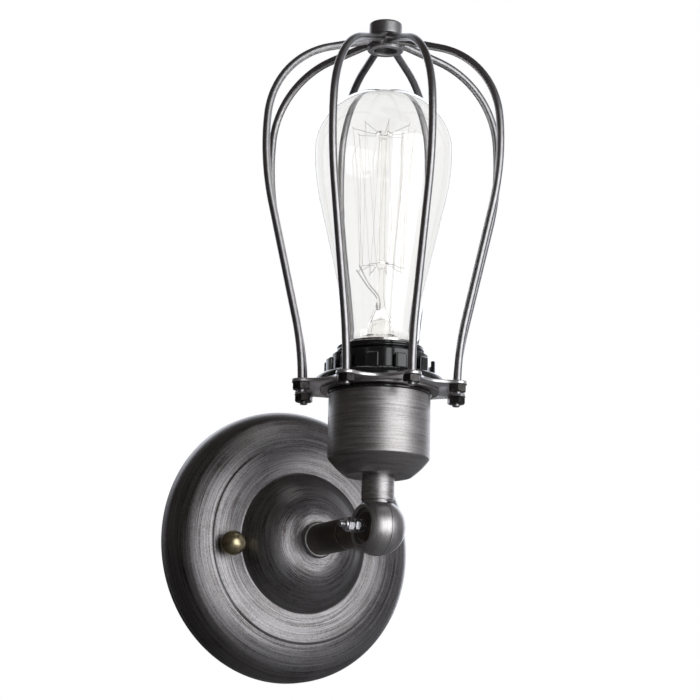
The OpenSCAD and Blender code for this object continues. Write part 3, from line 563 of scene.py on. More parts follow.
@dataclass(frozen=True)
class Moulded:
    """Moulded plastic: one colour with a faint flow, a polished or satin skin."""

    name: str
    colour: Colour
    roughness: float = 0.2
    coat: float = 0.0

    def material(self) -> bpy.types.Material:
        """Makes the material: a slow swirl shades the colour, and a fine uneven skin breaks the gloss.

        Returns:
            The material, named for the finish.
        """
        g = Graph(bpy.data.materials.new(self.name))
        place = g.place()
        swirl, skin = g.noise(place, 140.0), g.noise(place, 1500.0)
        shade = tuple(min(1.0, c * 1.7 + 0.004) for c in self.colour)
        return g.surface({
            "Base Color": g.blend(g.fit(swirl, 0.35, 0.65), self.colour, shade),
            "Roughness": g.fit(skin, 0.3, 0.7, self.roughness - 0.04, self.roughness + 0.06),
            "Normal": g.bump(g.weighted((swirl, 1.0), (skin, 0.2)), 0.00005, 0.35),
            "Coat Weight": self.coat,
            "IOR": 1.55,
        })


@dataclass(frozen=True)
class Glass:
    """Blown glass with a faint tint and a very slight wave."""

    name: str
    tint: Colour
    roughness: float = 0.0
    wave: float = 0.00003
    index: float = 1.46

    def material(self) -> bpy.types.Material:
        """Makes the material: fully clear glass whose skin follows slow noise.

        Returns:
            The material, named for the finish.
        """
        g = Graph(bpy.data.materials.new(self.name))
        slow = g.noise(g.place(), 60.0, 2.0)
        return g.surface({
            "Base Color": g.blend(slow, self.tint, tuple(min(1.0, c * 1.01) for c in self.tint)),
            "Roughness": self.roughness,
            "Transmission Weight": 1.0,
            "IOR": self.index,
            "Normal": g.bump(slow, self.wave, 0.3),
        })


PEWTER = TurnedMetal()
PEWTER_UP = replace(PEWTER, axis=Axis.UP)
PLATE_PEWTER = TurnedMetal(
    "plate_pewter", dark=(0.088, 0.071, 0.066), light=(0.43, 0.43, 0.44), patina=(0.15, 0.116, 0.102),
    roughness=0.38, depth=1.05,
)
DARK_PEWTER = TurnedMetal(
    "dark_pewter", dark=(0.15, 0.12, 0.11), light=(0.36, 0.32, 0.3), roughness=0.36,
    depth=0.4, anisotropy=0.2,
)
BALL_PEWTER = TurnedMetal(
    "ball_pewter", Axis.SIDE, dark=(0.28, 0.262, 0.255), light=(0.74, 0.735, 0.735),
    roughness=0.35, streak=0.35, depth=0.6, anisotropy=0.3,
)
GUNMETAL = DrawnMetal("gunmetal", (0.34, 0.333, 0.335), (0.43, 0.422, 0.425), 0.35, 0.03, 1600.0, 0.000008)
HUB_GUNMETAL = replace(GUNMETAL, name="hub_gunmetal", roughness=0.42)
# painted reflection: a lighter steel for the hub's lower face, standing in for the bright backdrop that it
# reflects
PAINTED_SHEEN_STEEL = DrawnMetal("painted_sheen_steel", (0.55, 0.54, 0.54), (0.78, 0.77, 0.77), 0.42)
NICKEL = DrawnMetal("bright_nickel", (0.74, 0.73, 0.73), (0.88, 0.87, 0.87), 0.34, 0.06, 600.0)
ZINC = DrawnMetal("zinc_plated", (0.44, 0.44, 0.45), (0.68, 0.68, 0.69), 0.34, 0.1, 500.0)
BROWN_STEEL = DrawnMetal("browned_steel", (0.1, 0.078, 0.07), (0.2, 0.165, 0.15), 0.5, 0.06, 500.0)
BLACK_STEEL = DrawnMetal("blackened_steel", (0.035, 0.032, 0.031), (0.09, 0.085, 0.082), 0.32, 0.1, 800.0)
OLD_BRASS = DrawnMetal("antique_brass", (0.28, 0.235, 0.135), (0.74, 0.65, 0.42), 0.32, 0.06, 260.0)
RAW_BRASS = DrawnMetal("raw_brass", (0.62, 0.46, 0.2), (0.8, 0.64, 0.33), 0.27, 0.08, 600.0)
CHROME = DrawnMetal("chrome_bolt", (0.6, 0.6, 0.62), (0.82, 0.82, 0.84), 0.3, 0.06)
CAP_NICKEL = DrawnMetal("cap_nickel", (0.5, 0.49, 0.46), (0.7, 0.68, 0.64), 0.25, 0.08, 500.0)
SUPPORT = DrawnMetal("support_wire", (0.42, 0.41, 0.4), (0.62, 0.61, 0.6), 0.4)
CARBON = DrawnMetal("filament", (0.62, 0.56, 0.48), (0.8, 0.74, 0.66), 0.6, 0.1, metallic=0.5)
BAKELITE = Moulded("bakelite", (0.006, 0.006, 0.0065), 0.16, 0.3)
IVORY = Moulded("ivory_plastic", (0.6, 0.57, 0.5), 0.42)
SHEATH = Moulded("wire_sheath", (0.2, 0.085, 0.035), 0.38)
LAMP_GLASS = Glass("clear_glass", (0.965, 0.963, 0.958))
STEM_GLASS = Glass("stem_glass", (0.985, 0.98, 0.955), 0.02, 0.00006, 1.32)
Finish = TurnedMetal | DrawnMetal | Moulded | Glass
_made: dict[Finish, bpy.types.Material] = {}


def finish(kind: Finish) -> bpy.types.Material:
    """A finish's material, made once.

    Args:
        kind: the finish.

    Returns:
        The material, the same one each time.
    """
    if kind not in _made:
        _made[kind] = kind.material()
    return _made[kind]


# ---------------------------------------------------------------- pieces


def grid_mesh(points: np.ndarray, slot: int = 0) -> bpy.types.Mesh:
    """A grid of points as a mesh of quads, with its rows and columns as a UV map.

    Args:
        points: rows x columns x 3, in metres.
        slot: the material's number.

    Returns:
        The mesh, whose cell (i, j) joins points i, i+1 and j, j+1.
    """
    rows, cols = points.shape[:2]
    mesh = bpy.data.meshes.new("surface")
    index = np.arange(rows * cols).reshape(rows, cols)
    quads = np.stack([index[:-1, :-1], index[:-1, 1:], index[1:, 1:], index[1:, :-1]], -1).reshape(-1, 4)
    mesh.from_pydata(points.reshape(-1, 3).tolist(), [], quads.tolist())
    uv = np.stack(np.meshgrid(np.linspace(0, 1, cols), np.linspace(0, 1, rows)), -1).reshape(-1, 2)
    layer = mesh.uv_layers.new(name="UVMap")
    layer.data.foreach_set("uv", uv[quads.ravel()].astype(np.float32).ravel())
    mesh.polygons.foreach_set("material_index", np.full(len(quads), slot, np.int32))
    return mesh


@dataclass
class Piece:
    """One visible piece: its surfaces, where they stand, and what it stands for."""

    name: str
    body: Body
    slot: Slot
    nodes: tuple[str, ...]
    surfaces: list[tuple[np.ndarray, Axis, Finish]] = field(default_factory=list)
    crease: float = 32.0

    def add(self, grid: np.ndarray, axis: Axis, kind: Finish) -> "Piece":
        """Adds one surface grid in local millimetres, with its axis and finish."""
        self.surfaces.append((grid, axis, kind))
        return self

    def build(self) -> bpy.types.Object:
        """Joins the surfaces into one mesh whose faces point outwards, and dresses it.

        Each grid gives one quad for every cell, its doubled points are merged, and a surface whose
        signed volume (the sum of p0 · (p1 × p2) / 6) is negative is turned over.

        Returns:
            The finished object, riding on its body.
        """
        mesh = bpy.data.meshes.new(self.name)
        work = bmesh.new()
        kinds: list[Finish] = []
        for grid, axis, kind in self.surfaces:
            if kind not in kinds:
                kinds.append(kind)
                mesh.materials.append(finish(kind))
            part = grid_mesh(axis.place(grid), kinds.index(kind))
            one = bmesh.new()
            one.from_mesh(part)
            bmesh.ops.remove_doubles(one, verts=one.verts, dist=2e-7)
            if one.calc_volume(signed=True) < 0:
                bmesh.ops.reverse_faces(one, faces=one.faces)
            one.to_mesh(part)
            one.free()
            work.from_mesh(part)
            bpy.data.meshes.remove(part)
        work.to_mesh(mesh)
        work.free()
        mesh.shade_smooth()
        mesh.set_sharp_from_angle(angle=math.radians(self.crease))
        made = bpy.data.objects.new(self.name, mesh)
        bpy.context.scene.collection.objects.link(made)
        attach(made, self.body.value)
        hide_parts(*self.nodes)
        return made


class Assembly:
    """A part of the light whose pieces are made and dressed together."""

    def pieces(self) -> list[Piece]:
        """The pieces with their surfaces, in the order that they are built."""
        raise NotImplementedError

    def build(self) -> list[bpy.types.Object]:
        """Builds and dresses every piece."""
        return [piece.build() for piece in self.pieces()]


# ---------------------------------------------------------------- the light's parts


@dataclass(frozen=True)
class TubeFixing:
    """The threaded tube that the arm and the neck both have, with its nut and toothed washer."""

    radius: float = 5.0
    bore: float = 3.35
    pitch: float = 1.0
    depth: float = 0.35
    slack: float = 0.05
    washer: tuple[float, float] = (7.6, 0.9)
    nut: tuple[float, float] = (14.0, 2.8)

    @property
    def fit(self) -> float:
        """Radius of a hole that the tube goes through."""
        return self.radius + self.slack

    def pieces(
        self, place: str, body: Body, axis: Axis, ends: tuple[float, float], washer_low: float, nut_low: float
    ) -> tuple[Piece, Piece, Piece]:
        """Makes the tube, its nut and its washer.

        Args:
            place: arm or neck, which the pieces and their nodes are named for.
            body: what they ride on.
            axis: the line that they stand round.
            ends: heights of the tube's ends.
            washer_low: height of the washer's lower face.
            nut_low: height of the nut's lower face.

        Returns:
            The tube, the nut and the washer.
        """
        tube_piece = Piece(f"{place}_tube", body, Slot.RAW_BRASS, (f"{place}_nipple",))
        tube_piece.add(thread(self.radius, *ends, self.pitch, self.depth, self.bore), axis, RAW_BRASS)
        flats, height = self.nut
        nut = Piece(f"{place}_nut", body, Slot.RAW_BRASS, (f"{place}_lock_nut",))
        nut.add(hex_nut(flats, nut_low, nut_low + height, self.fit), axis, RAW_BRASS)
        rim, thick = self.washer
        washer = Piece(f"{place}_toothed_washer", body, Slot.ZINC, (f"{place}_lock_washer",))
        washer.add(toothed_washer(self.fit, rim, washer_low, washer_low + thick), axis, ZINC)
        return tube_piece, nut, washer


@dataclass
class WallPlate(Assembly):
    """The spun wall plate, the two studs and their nuts behind it, and the two ball nuts on it.

    The shoulder is its width and height, the boss the radius and height of the dome's flat top, and a
    nut its width across the flats, its low face and its high face.
    """

    radius: float = 62.8
    sheet: float = 1.0
    rim: float = 3.4
    shoulder: tuple[float, float] = (11.0, 12.5)
    shoulder_turn: float = 65.0
    slope: float = 10.0
    slope_bulge: float = 0.3
    ring_out: float = 19.4
    ring_width: float = 14.3
    ring_drop: float = 0.7
    crease_depth: float = 0.6
    boss: tuple[float, float] = (9.5, 33.0)
    hole: float = 5.1
    dome_power: float = 2.0
    stud_circle: float = 39.5
    stud: float = 1.95
    stud_low: float = 2.2
    stud_tip: float = 24.4
    stud_nut: tuple[float, float, float] = (7.0, 3.8, 7.0)
    stud_head: tuple[float, float, float] = (6.8, 0.7, 2.2)
    turn: float = 5.5
    ball: float = 5.6
    ball_neck: float = 3.5

    def skin(self) -> np.ndarray:
        """The outer skin's profile: rim, elliptical shoulder, slope, crease, slightly rounded ring, dome.

        The ring falls by drop ((r - start) / width)², and the dome rises by height (1 - (1 - t)^power)
        as t runs from the ring to the flat centre.

        Returns:
            Points (radius, height) from the wall to the hole.
        """
        a = np.radians(np.linspace(0, self.shoulder_turn, 24))
        across, up = self.shoulder
        shoulder = np.stack([self.radius - across * (1 - np.cos(a)), self.rim + up * np.sin(a)], -1)
        crease = shoulder[-1, 0] - self.slope
        low = self.ring_out - self.ring_drop - self.crease_depth
        u = np.linspace(0, 1, 14)[1:, None]
        bulge = np.array([0.0, self.slope_bulge]) * np.sin(math.pi * u)
        bend = shoulder[-1] + (np.array([crease + 0.5, low]) - shoulder[-1]) * u + bulge
        edge, foot = crease - 0.9, crease - self.ring_width
        flat = foot + 0.25 * (edge - foot)
        r = np.linspace(edge, flat, 12)
        fall = self.ring_out - self.ring_drop * ((r - flat) / (edge - flat)) ** 2
        t = np.linspace(0, 1, 36)
        rise = (self.boss[1] - self.ring_out) * (1 - (1 - t) ** self.dome_power)
        dome = np.stack([foot - (foot - self.boss[0]) * t, self.ring_out + rise], -1)
        valley, centre = (crease - 0.35, low + 0.14), (self.hole, self.boss[1])
        crest = np.stack([r, fall], -1)
        return np.vstack([[(self.radius, 0.0)], shoulder, bend, [valley], crest, dome, [centre]])

    def ball_profile(self) -> np.ndarray:
        """A ball nut: a short neck on the plate's ring, the ball, and a small flat at its tip.

        Returns:
            The closed profile, points (radius, height).
        """
        seat, neck = self.ring_out, self.ball_neck
        centre = seat + 0.4 + self.ball
        tip = centre + self.ball - 0.06
        start = -math.degrees(math.acos((neck - 0.2) / self.ball))
        return np.vstack([
            [(2.0, seat), (neck, seat), (neck + 0.05, seat + 0.9), (neck - 0.3, seat + 1.3)],
            arc((0.0, centre), self.ball, start, 84, 26),
            [(0.55, tip), (0.0, tip), (0.0, seat + 0.1), (2.0, seat)],
        ])

    def pieces(self) -> list[Piece]:
        """Makes the surfaces and gives each its finish.

        Returns:
            The plate, the ball nuts, and the studs with their nuts.
        """
        wall = offset_wall(soften(self.skin(), 0.5, gap=2.5), self.sheet)
        plate = Piece("wall_plate", Body.WALL, Slot.PEWTER, ("canopy",))
        plate.add(lathe(np.vstack([wall, wall[:1]]), 224), Axis.OUT, PLATE_PEWTER)
        balls = Piece("finial_balls", Body.WALL, Slot.OLD_BRASS, ("ball_nuts",))
        studs = Piece("plate_studs", Body.WALL, Slot.ZINC, ("mounting_studs", "stud_lock_nuts"))
        rod = thread(self.stud, self.stud_low, self.stud_tip, 0.7, 0.22, sides=28)
        for side in (0.0, math.pi):
            angle = math.radians(self.turn) + side
            shift = (self.stud_circle * math.cos(angle), self.stud_circle * math.sin(angle), 0.0)
            balls.add(turned(lathe(self.ball_profile(), 56), angle, shift), Axis.OUT, OLD_BRASS)
            studs.add(turned(rod, angle, shift), Axis.OUT, ZINC)
            studs.add(turned(hex_nut(*self.stud_nut, self.stud), angle + 0.4, shift), Axis.OUT, ZINC)
            studs.add(turned(hex_nut(*self.stud_head, 0.0), angle, shift), Axis.OUT, ZINC)
        return [plate, balls, studs]


@dataclass
class Arm(Assembly):
    """The short arm: a threaded tube with its washer and nut, a collar and a sleeve."""

    radius: float = 7.2
    fixing: TubeFixing = TubeFixing()
    inner_face: float = 32.0
    outer_face: float = 33.0
    collar: tuple[float, float] = (8.3, 2.0)
    collar_edge: float = 0.7
    sleeve_end: float = 60.44
    tube_ends: tuple[float, float] = (26.5, 50.5)

    def pieces(self) -> list[Piece]:
        """Makes the surfaces and gives each its finish.

        Returns:
            The tube, nut, washer, collar and sleeve.
        """
        fit = self.fixing.fit
        washer_low = self.inner_face - self.fixing.washer[1]
        nut_low = washer_low - self.fixing.nut[1]
        fixings = self.fixing.pieces("arm", Body.WALL, Axis.OUT, self.tube_ends, washer_low, nut_low)
        r, low, high = self.collar[0], self.outer_face, self.outer_face + self.collar[1]
        edge = self.collar_edge
        profile = np.array([(fit, low), (r, low), (r, high - edge), (r - edge, high), (fit, high)])
        collar = Piece("collar", Body.WALL, Slot.PEWTER, ("arm_collar",))
        collar.add(ring(profile, 0.3, 96), Axis.OUT, PEWTER)
        r, end = self.radius, self.sleeve_end
        profile = np.array([(fit, high), (r, high), (r, end), (fit, end)])
        sleeve = Piece("sleeve", Body.WALL, Slot.PEWTER, ("arm_sleeve",))
        sleeve.add(ring(profile, 0.16, 96), Axis.OUT, DARK_PEWTER)
        return [*fixings, collar, sleeve]


@dataclass
class Swivel(Assembly):
    """The ball swivel: two halves that turn on each other, each with its stub, and the clamp bolt.

    Lengths along the bolt are counted from the swivel's centre towards the open recess. The recess is
    its radius and floor, the cavity between the halves its radius and half its length, and a thin nut
    its width across the flats and its height.
    """

    ball: float = 12.5
    stub: float = 7.2
    relief: float = 0.5
    seam: float = 0.4
    gap: float = 0.1
    flat: float = 8.2
    recess: tuple[float, float] = (8.0, 5.8)
    cavity: tuple[float, float] = (5.5, 4.0)
    bore: float = 1.55
    well: tuple[float, float] = (3.2, -8.3)
    wire_hole: float = 3.35
    neck_top: float = 22.35
    arm_end: float = 24.5
    bolt: float = 1.5
    bolt_ends: tuple[float, float] = (-8.2, 18.9)
    washer: tuple[float, float] = (6.3, 0.8)
    thin_nut: tuple[float, float] = (5.5, 2.3)
    second_nut: float = 3.3
    spring: tuple[float, float] = (2.08, 0.42)
    lock_nut: tuple[float, float] = (12.9, 15.7)

    def columns(self, side: int, radius: float) -> tuple[np.ndarray, np.ndarray]:
        """Angles round a stub that run along the joint face x = seam on both sides of it.

        The face is met at plus and minus acos(x / radius), and 25 columns fill each part between.

        Args:
            side: which side of the joint face is the stub's own, +1 or -1.
            radius: distance from the stub's axis.

        Returns:
            The angles, and which of them lie over the other half of the ball.
        """
        face = self.seam + side * self.gap / 2.0
        edge = math.acos(np.clip(face / radius, -1.0, 1.0))
        t = np.linspace(0.0, 1.0, 25)
        angle = np.concatenate([-edge + 2 * edge * t, edge + (TAU - 2 * edge) * t])
        right = np.arange(50) < 25
        return angle, ~right if side > 0 else right

    def stub_grid(self, side: int, reach: float) -> np.ndarray:
        """A stub round z whose lower end clears the other half of the ball.

        Over the other half the end lies on the sphere of radius ball + relief, h = sqrt(R² - r²),
        and over its own half it runs on into the ball.

        Args:
            side: which side of the joint face is the stub's own, +1 or -1.
            reach: distance from the swivel's centre to the stub's end.

        Returns:
            The closed surface as a grid.
        """
        r = self.stub
        groove = math.sqrt(self.ball**2 - r**2) + 0.7
        rows = []
        for radius in (0.6, 2.5, 4.4, 5.8, r - 0.12):
            a, over = self.columns(side, radius)
            clear = math.sqrt((self.ball + self.relief) ** 2 - radius**2)
            sunk = math.sqrt((self.ball - 0.6) ** 2 - radius**2)
            rows.append(polar(radius, a, np.where(over, clear, sunk)))
        a, over = self.columns(side, r)
        rim = math.sqrt((self.ball + self.relief) ** 2 - r**2) + 0.08
        rows.append(polar(r, a, np.where(over, rim, rim - 1.2)))
        body = (
            (r, groove - 0.12), (r - 0.7, groove + 0.05), (r - 0.7, groove + 0.62), (r, groove + 0.8),
            (r, reach - 1.05), (r - 0.5, reach - 1.1), (r - 0.5, reach),
            (self.wire_hole, reach), (self.wire_hole, reach - 3.0),
        )
        rows += [polar(p, a, h) for p, h in body]
        grid = np.stack(rows + rows[:1])
        grid[[0, -1], :, :2] *= 0.01
        return np.concatenate([grid, grid[:, :1]], 1)

    def pieces(self) -> list[Piece]:
        """Makes the surfaces and gives each its finish.

        Returns:
            The two halves, and the clamp's pieces.
        """
        own, other = self.seam - self.gap / 2.0, self.seam + self.gap / 2.0
        (mouth, floor), (hollow, far), bore, flat = self.recess, self.cavity, self.bore, self.flat
        middle = (0.0, 0.0)
        edge = math.sqrt(self.ball**2 - flat**2)
        top = math.degrees(math.asin(flat / self.ball))
        profile = np.vstack([
            arc(middle, self.ball, -math.degrees(math.asin(own / self.ball)), top, 40),
            [(edge - 0.05, flat), (mouth + 0.45, flat), (mouth, flat - 0.6), (mouth, floor)],
            [(bore, floor), (bore, far), (hollow, far), (hollow, -own)],
        ])
        head = Piece("swivel_half_head", Body.HEAD, Slot.PEWTER, ("swivel_head_half",))
        head.add(ring(profile, 0.18, 120), Axis.SIDE, BALL_PEWTER)
        head.add(self.stub_grid(-1, self.neck_top), Axis.UP, replace(PEWTER_UP, depth=0.6))
        well, well_floor = self.well
        start = -math.degrees(math.acos(well / self.ball))
        profile = np.vstack([
            arc(middle, self.ball, start, -math.degrees(math.asin(other / self.ball)), 48),
            [(hollow, -other), (hollow, -far), (bore, -far), (bore, well_floor), (well, well_floor)],
        ])
        arm = Piece("swivel_half_arm", Body.WALL, Slot.PEWTER, ("swivel_arm_half",))
        arm.add(ring(profile, 0.18, 120), Axis.SIDE, BALL_PEWTER)
        arm.add(self.stub_grid(1, self.arm_end), Axis.BACK, replace(DARK_PEWTER, axis=Axis.BACK))
        return [head, arm, *self.clamp()]

    def clamp(self) -> list[Piece]:
        """Makes what clamps the two halves together.

        Returns:
            The bolt, inner washer, thin nuts, spring washer and locking nut.
        """
        bolt = Piece("clamp_screw", Body.HEAD, Slot.CHROME, ("clamp_bolt",))
        bolt.add(thread(self.bolt, *self.bolt_ends, 0.5, 0.16, sides=32), Axis.SIDE, CHROME)
        screw_head = np.array([
            (0.0, -9.2), (1.45, -9.2), (1.45, -10.25), (2.35, -10.25), (2.8, -9.85),
            (2.8, -8.25), (0.0, -8.25),
        ])
        bolt.add(lathe(soften(screw_head, 0.15), 48), Axis.SIDE, CHROME)
        rim, low, seat = self.washer[0], self.recess[1], self.recess[1] + self.washer[1]
        profile = np.array([(self.bore, low), (rim, low), (rim, seat), (self.bore, seat)])
        washer = Piece("clamp_inner_washer", Body.HEAD, Slot.BLACK_STEEL, ("clamp_washer",))
        washer.add(ring(profile, 0.15, 72), Axis.SIDE, BROWN_STEEL)
        nuts = Piece("clamp_thin_nuts", Body.HEAD, Slot.CHROME, ("clamp_nuts",))
        flats, height = self.thin_nut
        for low, turn in ((seat, 0.0), (seat + self.second_nut, 0.35)):
            nuts.add(turned(hex_nut(flats, low, low + height, self.bore), turn), Axis.SIDE, CHROME)
        a = np.linspace(0.12, TAU - 0.12, 49)
        path = polar(self.spring[0], a, seat + 2.8 + 0.22 * (a / TAU - 0.5))
        spring = Piece("clamp_spring_washer", Body.HEAD, Slot.BLACK_STEEL, ("spring_washer",))
        spring.add(tube(path, self.spring[1], 10), Axis.SIDE, BLACK_STEEL)
        lock = Piece("clamp_locking_nut", Body.HEAD, Slot.CHROME, ("clamp_lock_nut",))
        lock.add(turned(hex_nut(flats, *self.lock_nut, self.bolt, collar=1.2), 0.2), Axis.SIDE, CHROME)
        return [bolt, washer, nuts, spring, lock]


@dataclass
class Cup(Assembly):
    """The turned cup on the swivel, with the neck's tube, washer and nut."""

    radius: float = 22.5
    floor: float = 14.6
    base: float = 22.35
    taper: float = 7.85
    height: float = 36.0
    sheet: float = 1.0
    fixing: TubeFixing = TubeFixing()
    tube_ends: tuple[float, float] = (13.65, 32.05)

    def pieces(self) -> list[Piece]:
        """Makes the surfaces and gives each its finish.

        Returns:
            The cup, the tube, the washer and the nut.
        """
        t = np.linspace(0, 1, 9)
        swell = np.sin(math.pi * t)
        out = self.floor + (self.radius - self.floor) * t + 0.35 * swell
        shoulder = np.stack([out, self.base + self.taper * t - 0.25 * swell], -1)
        skin = np.vstack([
            [(self.fixing.fit, self.base)],
            shoulder,
            [(self.radius, self.base + self.taper + 0.3), (self.radius, self.base + self.height)],
        ])
        cup = Piece("cup", Body.HEAD, Slot.PEWTER, ("socket_cup",))
        brushed = replace(PEWTER_UP, name="cup_pewter", depth=0.55)
        cup.add(ring(offset_wall(soften(skin, 0.5), self.sheet), 0.3, 160), Axis.UP, brushed)
        washer_low = self.base + self.sheet
        nut_low = washer_low + self.fixing.washer[1]
        tube_piece, nut, washer = self.fixing.pieces(
            "neck", Body.HEAD, Axis.UP, self.tube_ends, washer_low, nut_low
        )
        return [cup, tube_piece, washer, nut]


@dataclass
class Lampholder(Assembly):
    """The black lampholder: its lower and threaded bodies, the washer on its flange and the ring nut.

    The flange is its radius, low face and high face. The ring nut's crown, dome and collar are each a
    radius and a height over the cage plate.
    """

    body: float = 20.3
    body_step: float = 44.05
    flange: tuple[float, float, float] = (22.9, 58.35, 59.75)
    sleeve: float = 19.6
    top: float = 79.95
    bore: float = 14.8
    bore_low: float = 55.5
    pitch: float = 2.5
    thread_low: float = 61.0
    thread_depth: float = 1.05
    seat_washer: tuple[float, float, float, float] = (19.7, 26.3, 59.75, 60.95)
    plate_top: float = 62.45
    lugs: int = 12
    lug_gap: float = 7.4
    lug_wall: float = 1.7
    crown: tuple[float, float] = (24.7, 10.8)
    dome: tuple[float, float] = (28.8, 4.6)
    skirt: float = 1.4
    collar: tuple[float, float] = (21.5, 13.5)
    turn: float = -9.2

    def threaded_body(self) -> np.ndarray:
        """The moulded body: plain below, a rounded thread above the ring nut, and a plain bore.

        On the thread the radius is the sleeve's less depth times wave^1.5, where the wave is
        (1 + cos(height over pitch less angle)) / 2, and at the top rim it runs out to 0.25 mm less.

        Returns:
            The closed surface as a grid.
        """
        a = np.linspace(0.0, TAU, 161)[None, :]
        h = np.linspace(self.thread_low, self.top - 0.5, 110)[:, None]
        fade = np.clip((self.top - 0.7 - h) / 1.2, 0.0, 1.0)
        wave = 0.5 + 0.5 * np.cos(TAU * (h / self.pitch - a / TAU))
        side = polar(self.sleeve - self.thread_depth * fade * wave**1.5 - 0.25 * (1 - fade), a, h)
        r, low, high = self.flange
        body, step, sleeve, bore, start = self.body, self.body_step, self.sleeve, self.bore, self.bore_low
        below = np.array([
            (bore, start), (body - 2.2, start - 0.1), (body - 2.2, step + 0.15), (body, step),
            (body, low - 0.01), (r - 0.25, low - 0.01), (r, low + 0.3), (r, high - 0.3), (r - 0.3, high),
            (sleeve - 0.1, high), (sleeve - 0.6, self.thread_low - 0.1),
        ])
        above = np.array([
            (sleeve - 0.45, self.top - 0.25), (sleeve - 0.9, self.top), (bore + 0.6, self.top),
            (bore, self.top - 0.5), (bore, start),
        ])
        return np.concatenate([lathe(soften(below, 0.2), 160), side, lathe(above, 160)])

    def lug_grid(self, middle: float) -> np.ndarray:
        """One lug of the ring nut: a rounded upright section carried round by an arc, with eased ends.

        Args:
            middle: the lug's direction round the axis, in radians.

        Returns:
            The closed surface as a grid.
        """
        outer, height = self.crown
        inner = outer - self.lug_wall
        low, high = self.plate_top + self.dome[1] - 1.2, self.plate_top + height
        box = np.array([
            (inner, low), (outer, low), (outer, high - 0.4), (outer - 0.4, high),
            (inner + 0.3, high), (inner, high - 0.3), (inner, low),
        ])
        half = math.pi / self.lugs - math.asin(self.lug_gap / 2.0 / outer)
        ease, inset = np.array([0.0, 0.12, 0.35]), np.array([0.35, 0.12, 0.0])
        inside = np.linspace(-half, half, 9)[1:-1]
        place = np.concatenate([-half + ease / outer, inside, (half - ease / outer)[::-1]])
        inset = np.concatenate([inset, np.zeros(7), inset[::-1]])
        centre = box[:-1].mean(0)
        toward = np.clip((centre - box) / np.abs(centre - box).max(0), -1, 1)
        sections = box[None] + inset[:, None, None] * toward[None]
        return close_ends(polar(sections[..., 0], (middle + place)[:, None], sections[..., 1]))

    def nut_profile(self) -> np.ndarray:
        """The ring nut: an upright skirt, a domed shoulder, a trough and the collar on the thread.

        Returns:
            The closed profile, points (radius, height).
        """
        z, fit = self.plate_top, self.sleeve + 0.1
        (dome_r, dome_h), crown_r, (collar_r, collar_h) = self.dome, self.crown[0], self.collar
        corner = np.array([crown_r - 0.2, z + self.skirt])
        reach = np.array([dome_r, z + dome_h]) - corner
        curve = corner + arc((0.0, 0.0), 1.0, 0, 90, 14) * reach
        rim, trough, inner = z + dome_h - 0.2, z + dome_h - 0.6, crown_r - self.lug_wall
        return np.vstack([
            [(fit, z), (dome_r, z)],
            curve,
            [(inner, rim), (inner - 0.2, trough), (collar_r + 0.2, trough), (collar_r, rim)],
            [(collar_r, z + collar_h), (fit, z + collar_h)],
        ])

    def pieces(self) -> list[Piece]:
        """Makes the surfaces and gives each its finish.

        Returns:
            The threaded body, the lower body, the washer and the ring nut.
        """
        body = Piece("holder_body", Body.HEAD, Slot.BAKELITE, ("holder_sleeve",), crease=40)
        body.add(self.threaded_body(), Axis.UP, BAKELITE)
        r, high = self.body, self.body_step
        profile = np.array([
            (5.1, 27.05), (9.0, 27.05), (r, 35.0), (r, high),
            (r - 2.2, high), (r - 2.2, 36.2), (8.0, 31.0), (5.1, 31.0),
        ])
        base = Piece("holder_lower_body", Body.HEAD, Slot.BAKELITE, ("holder_base",))
        base.add(ring(profile, 0.4, 96), Axis.UP, BAKELITE)
        inner, outer, low, high = self.seat_washer
        profile = np.array([(inner, low), (outer, low), (outer, high), (inner, high)])
        washer = Piece("clamping_washer", Body.HEAD, Slot.GUNMETAL, ("seat_washer",))
        washer.add(ring(profile, 0.3, 128), Axis.UP, replace(PEWTER_UP, lift=-0.1))
        nut = Piece("finger_ring", Body.HEAD, Slot.BAKELITE, ("ring_nut",))
        nut.add(ring(self.nut_profile(), 0.3, 168), Axis.UP, BAKELITE)
        first = math.radians(self.turn) + math.pi / 2
        for k in range(self.lugs):
            nut.add(self.lug_grid(first + k * TAU / self.lugs), Axis.UP, BAKELITE)
        return [body, base, washer, nut]


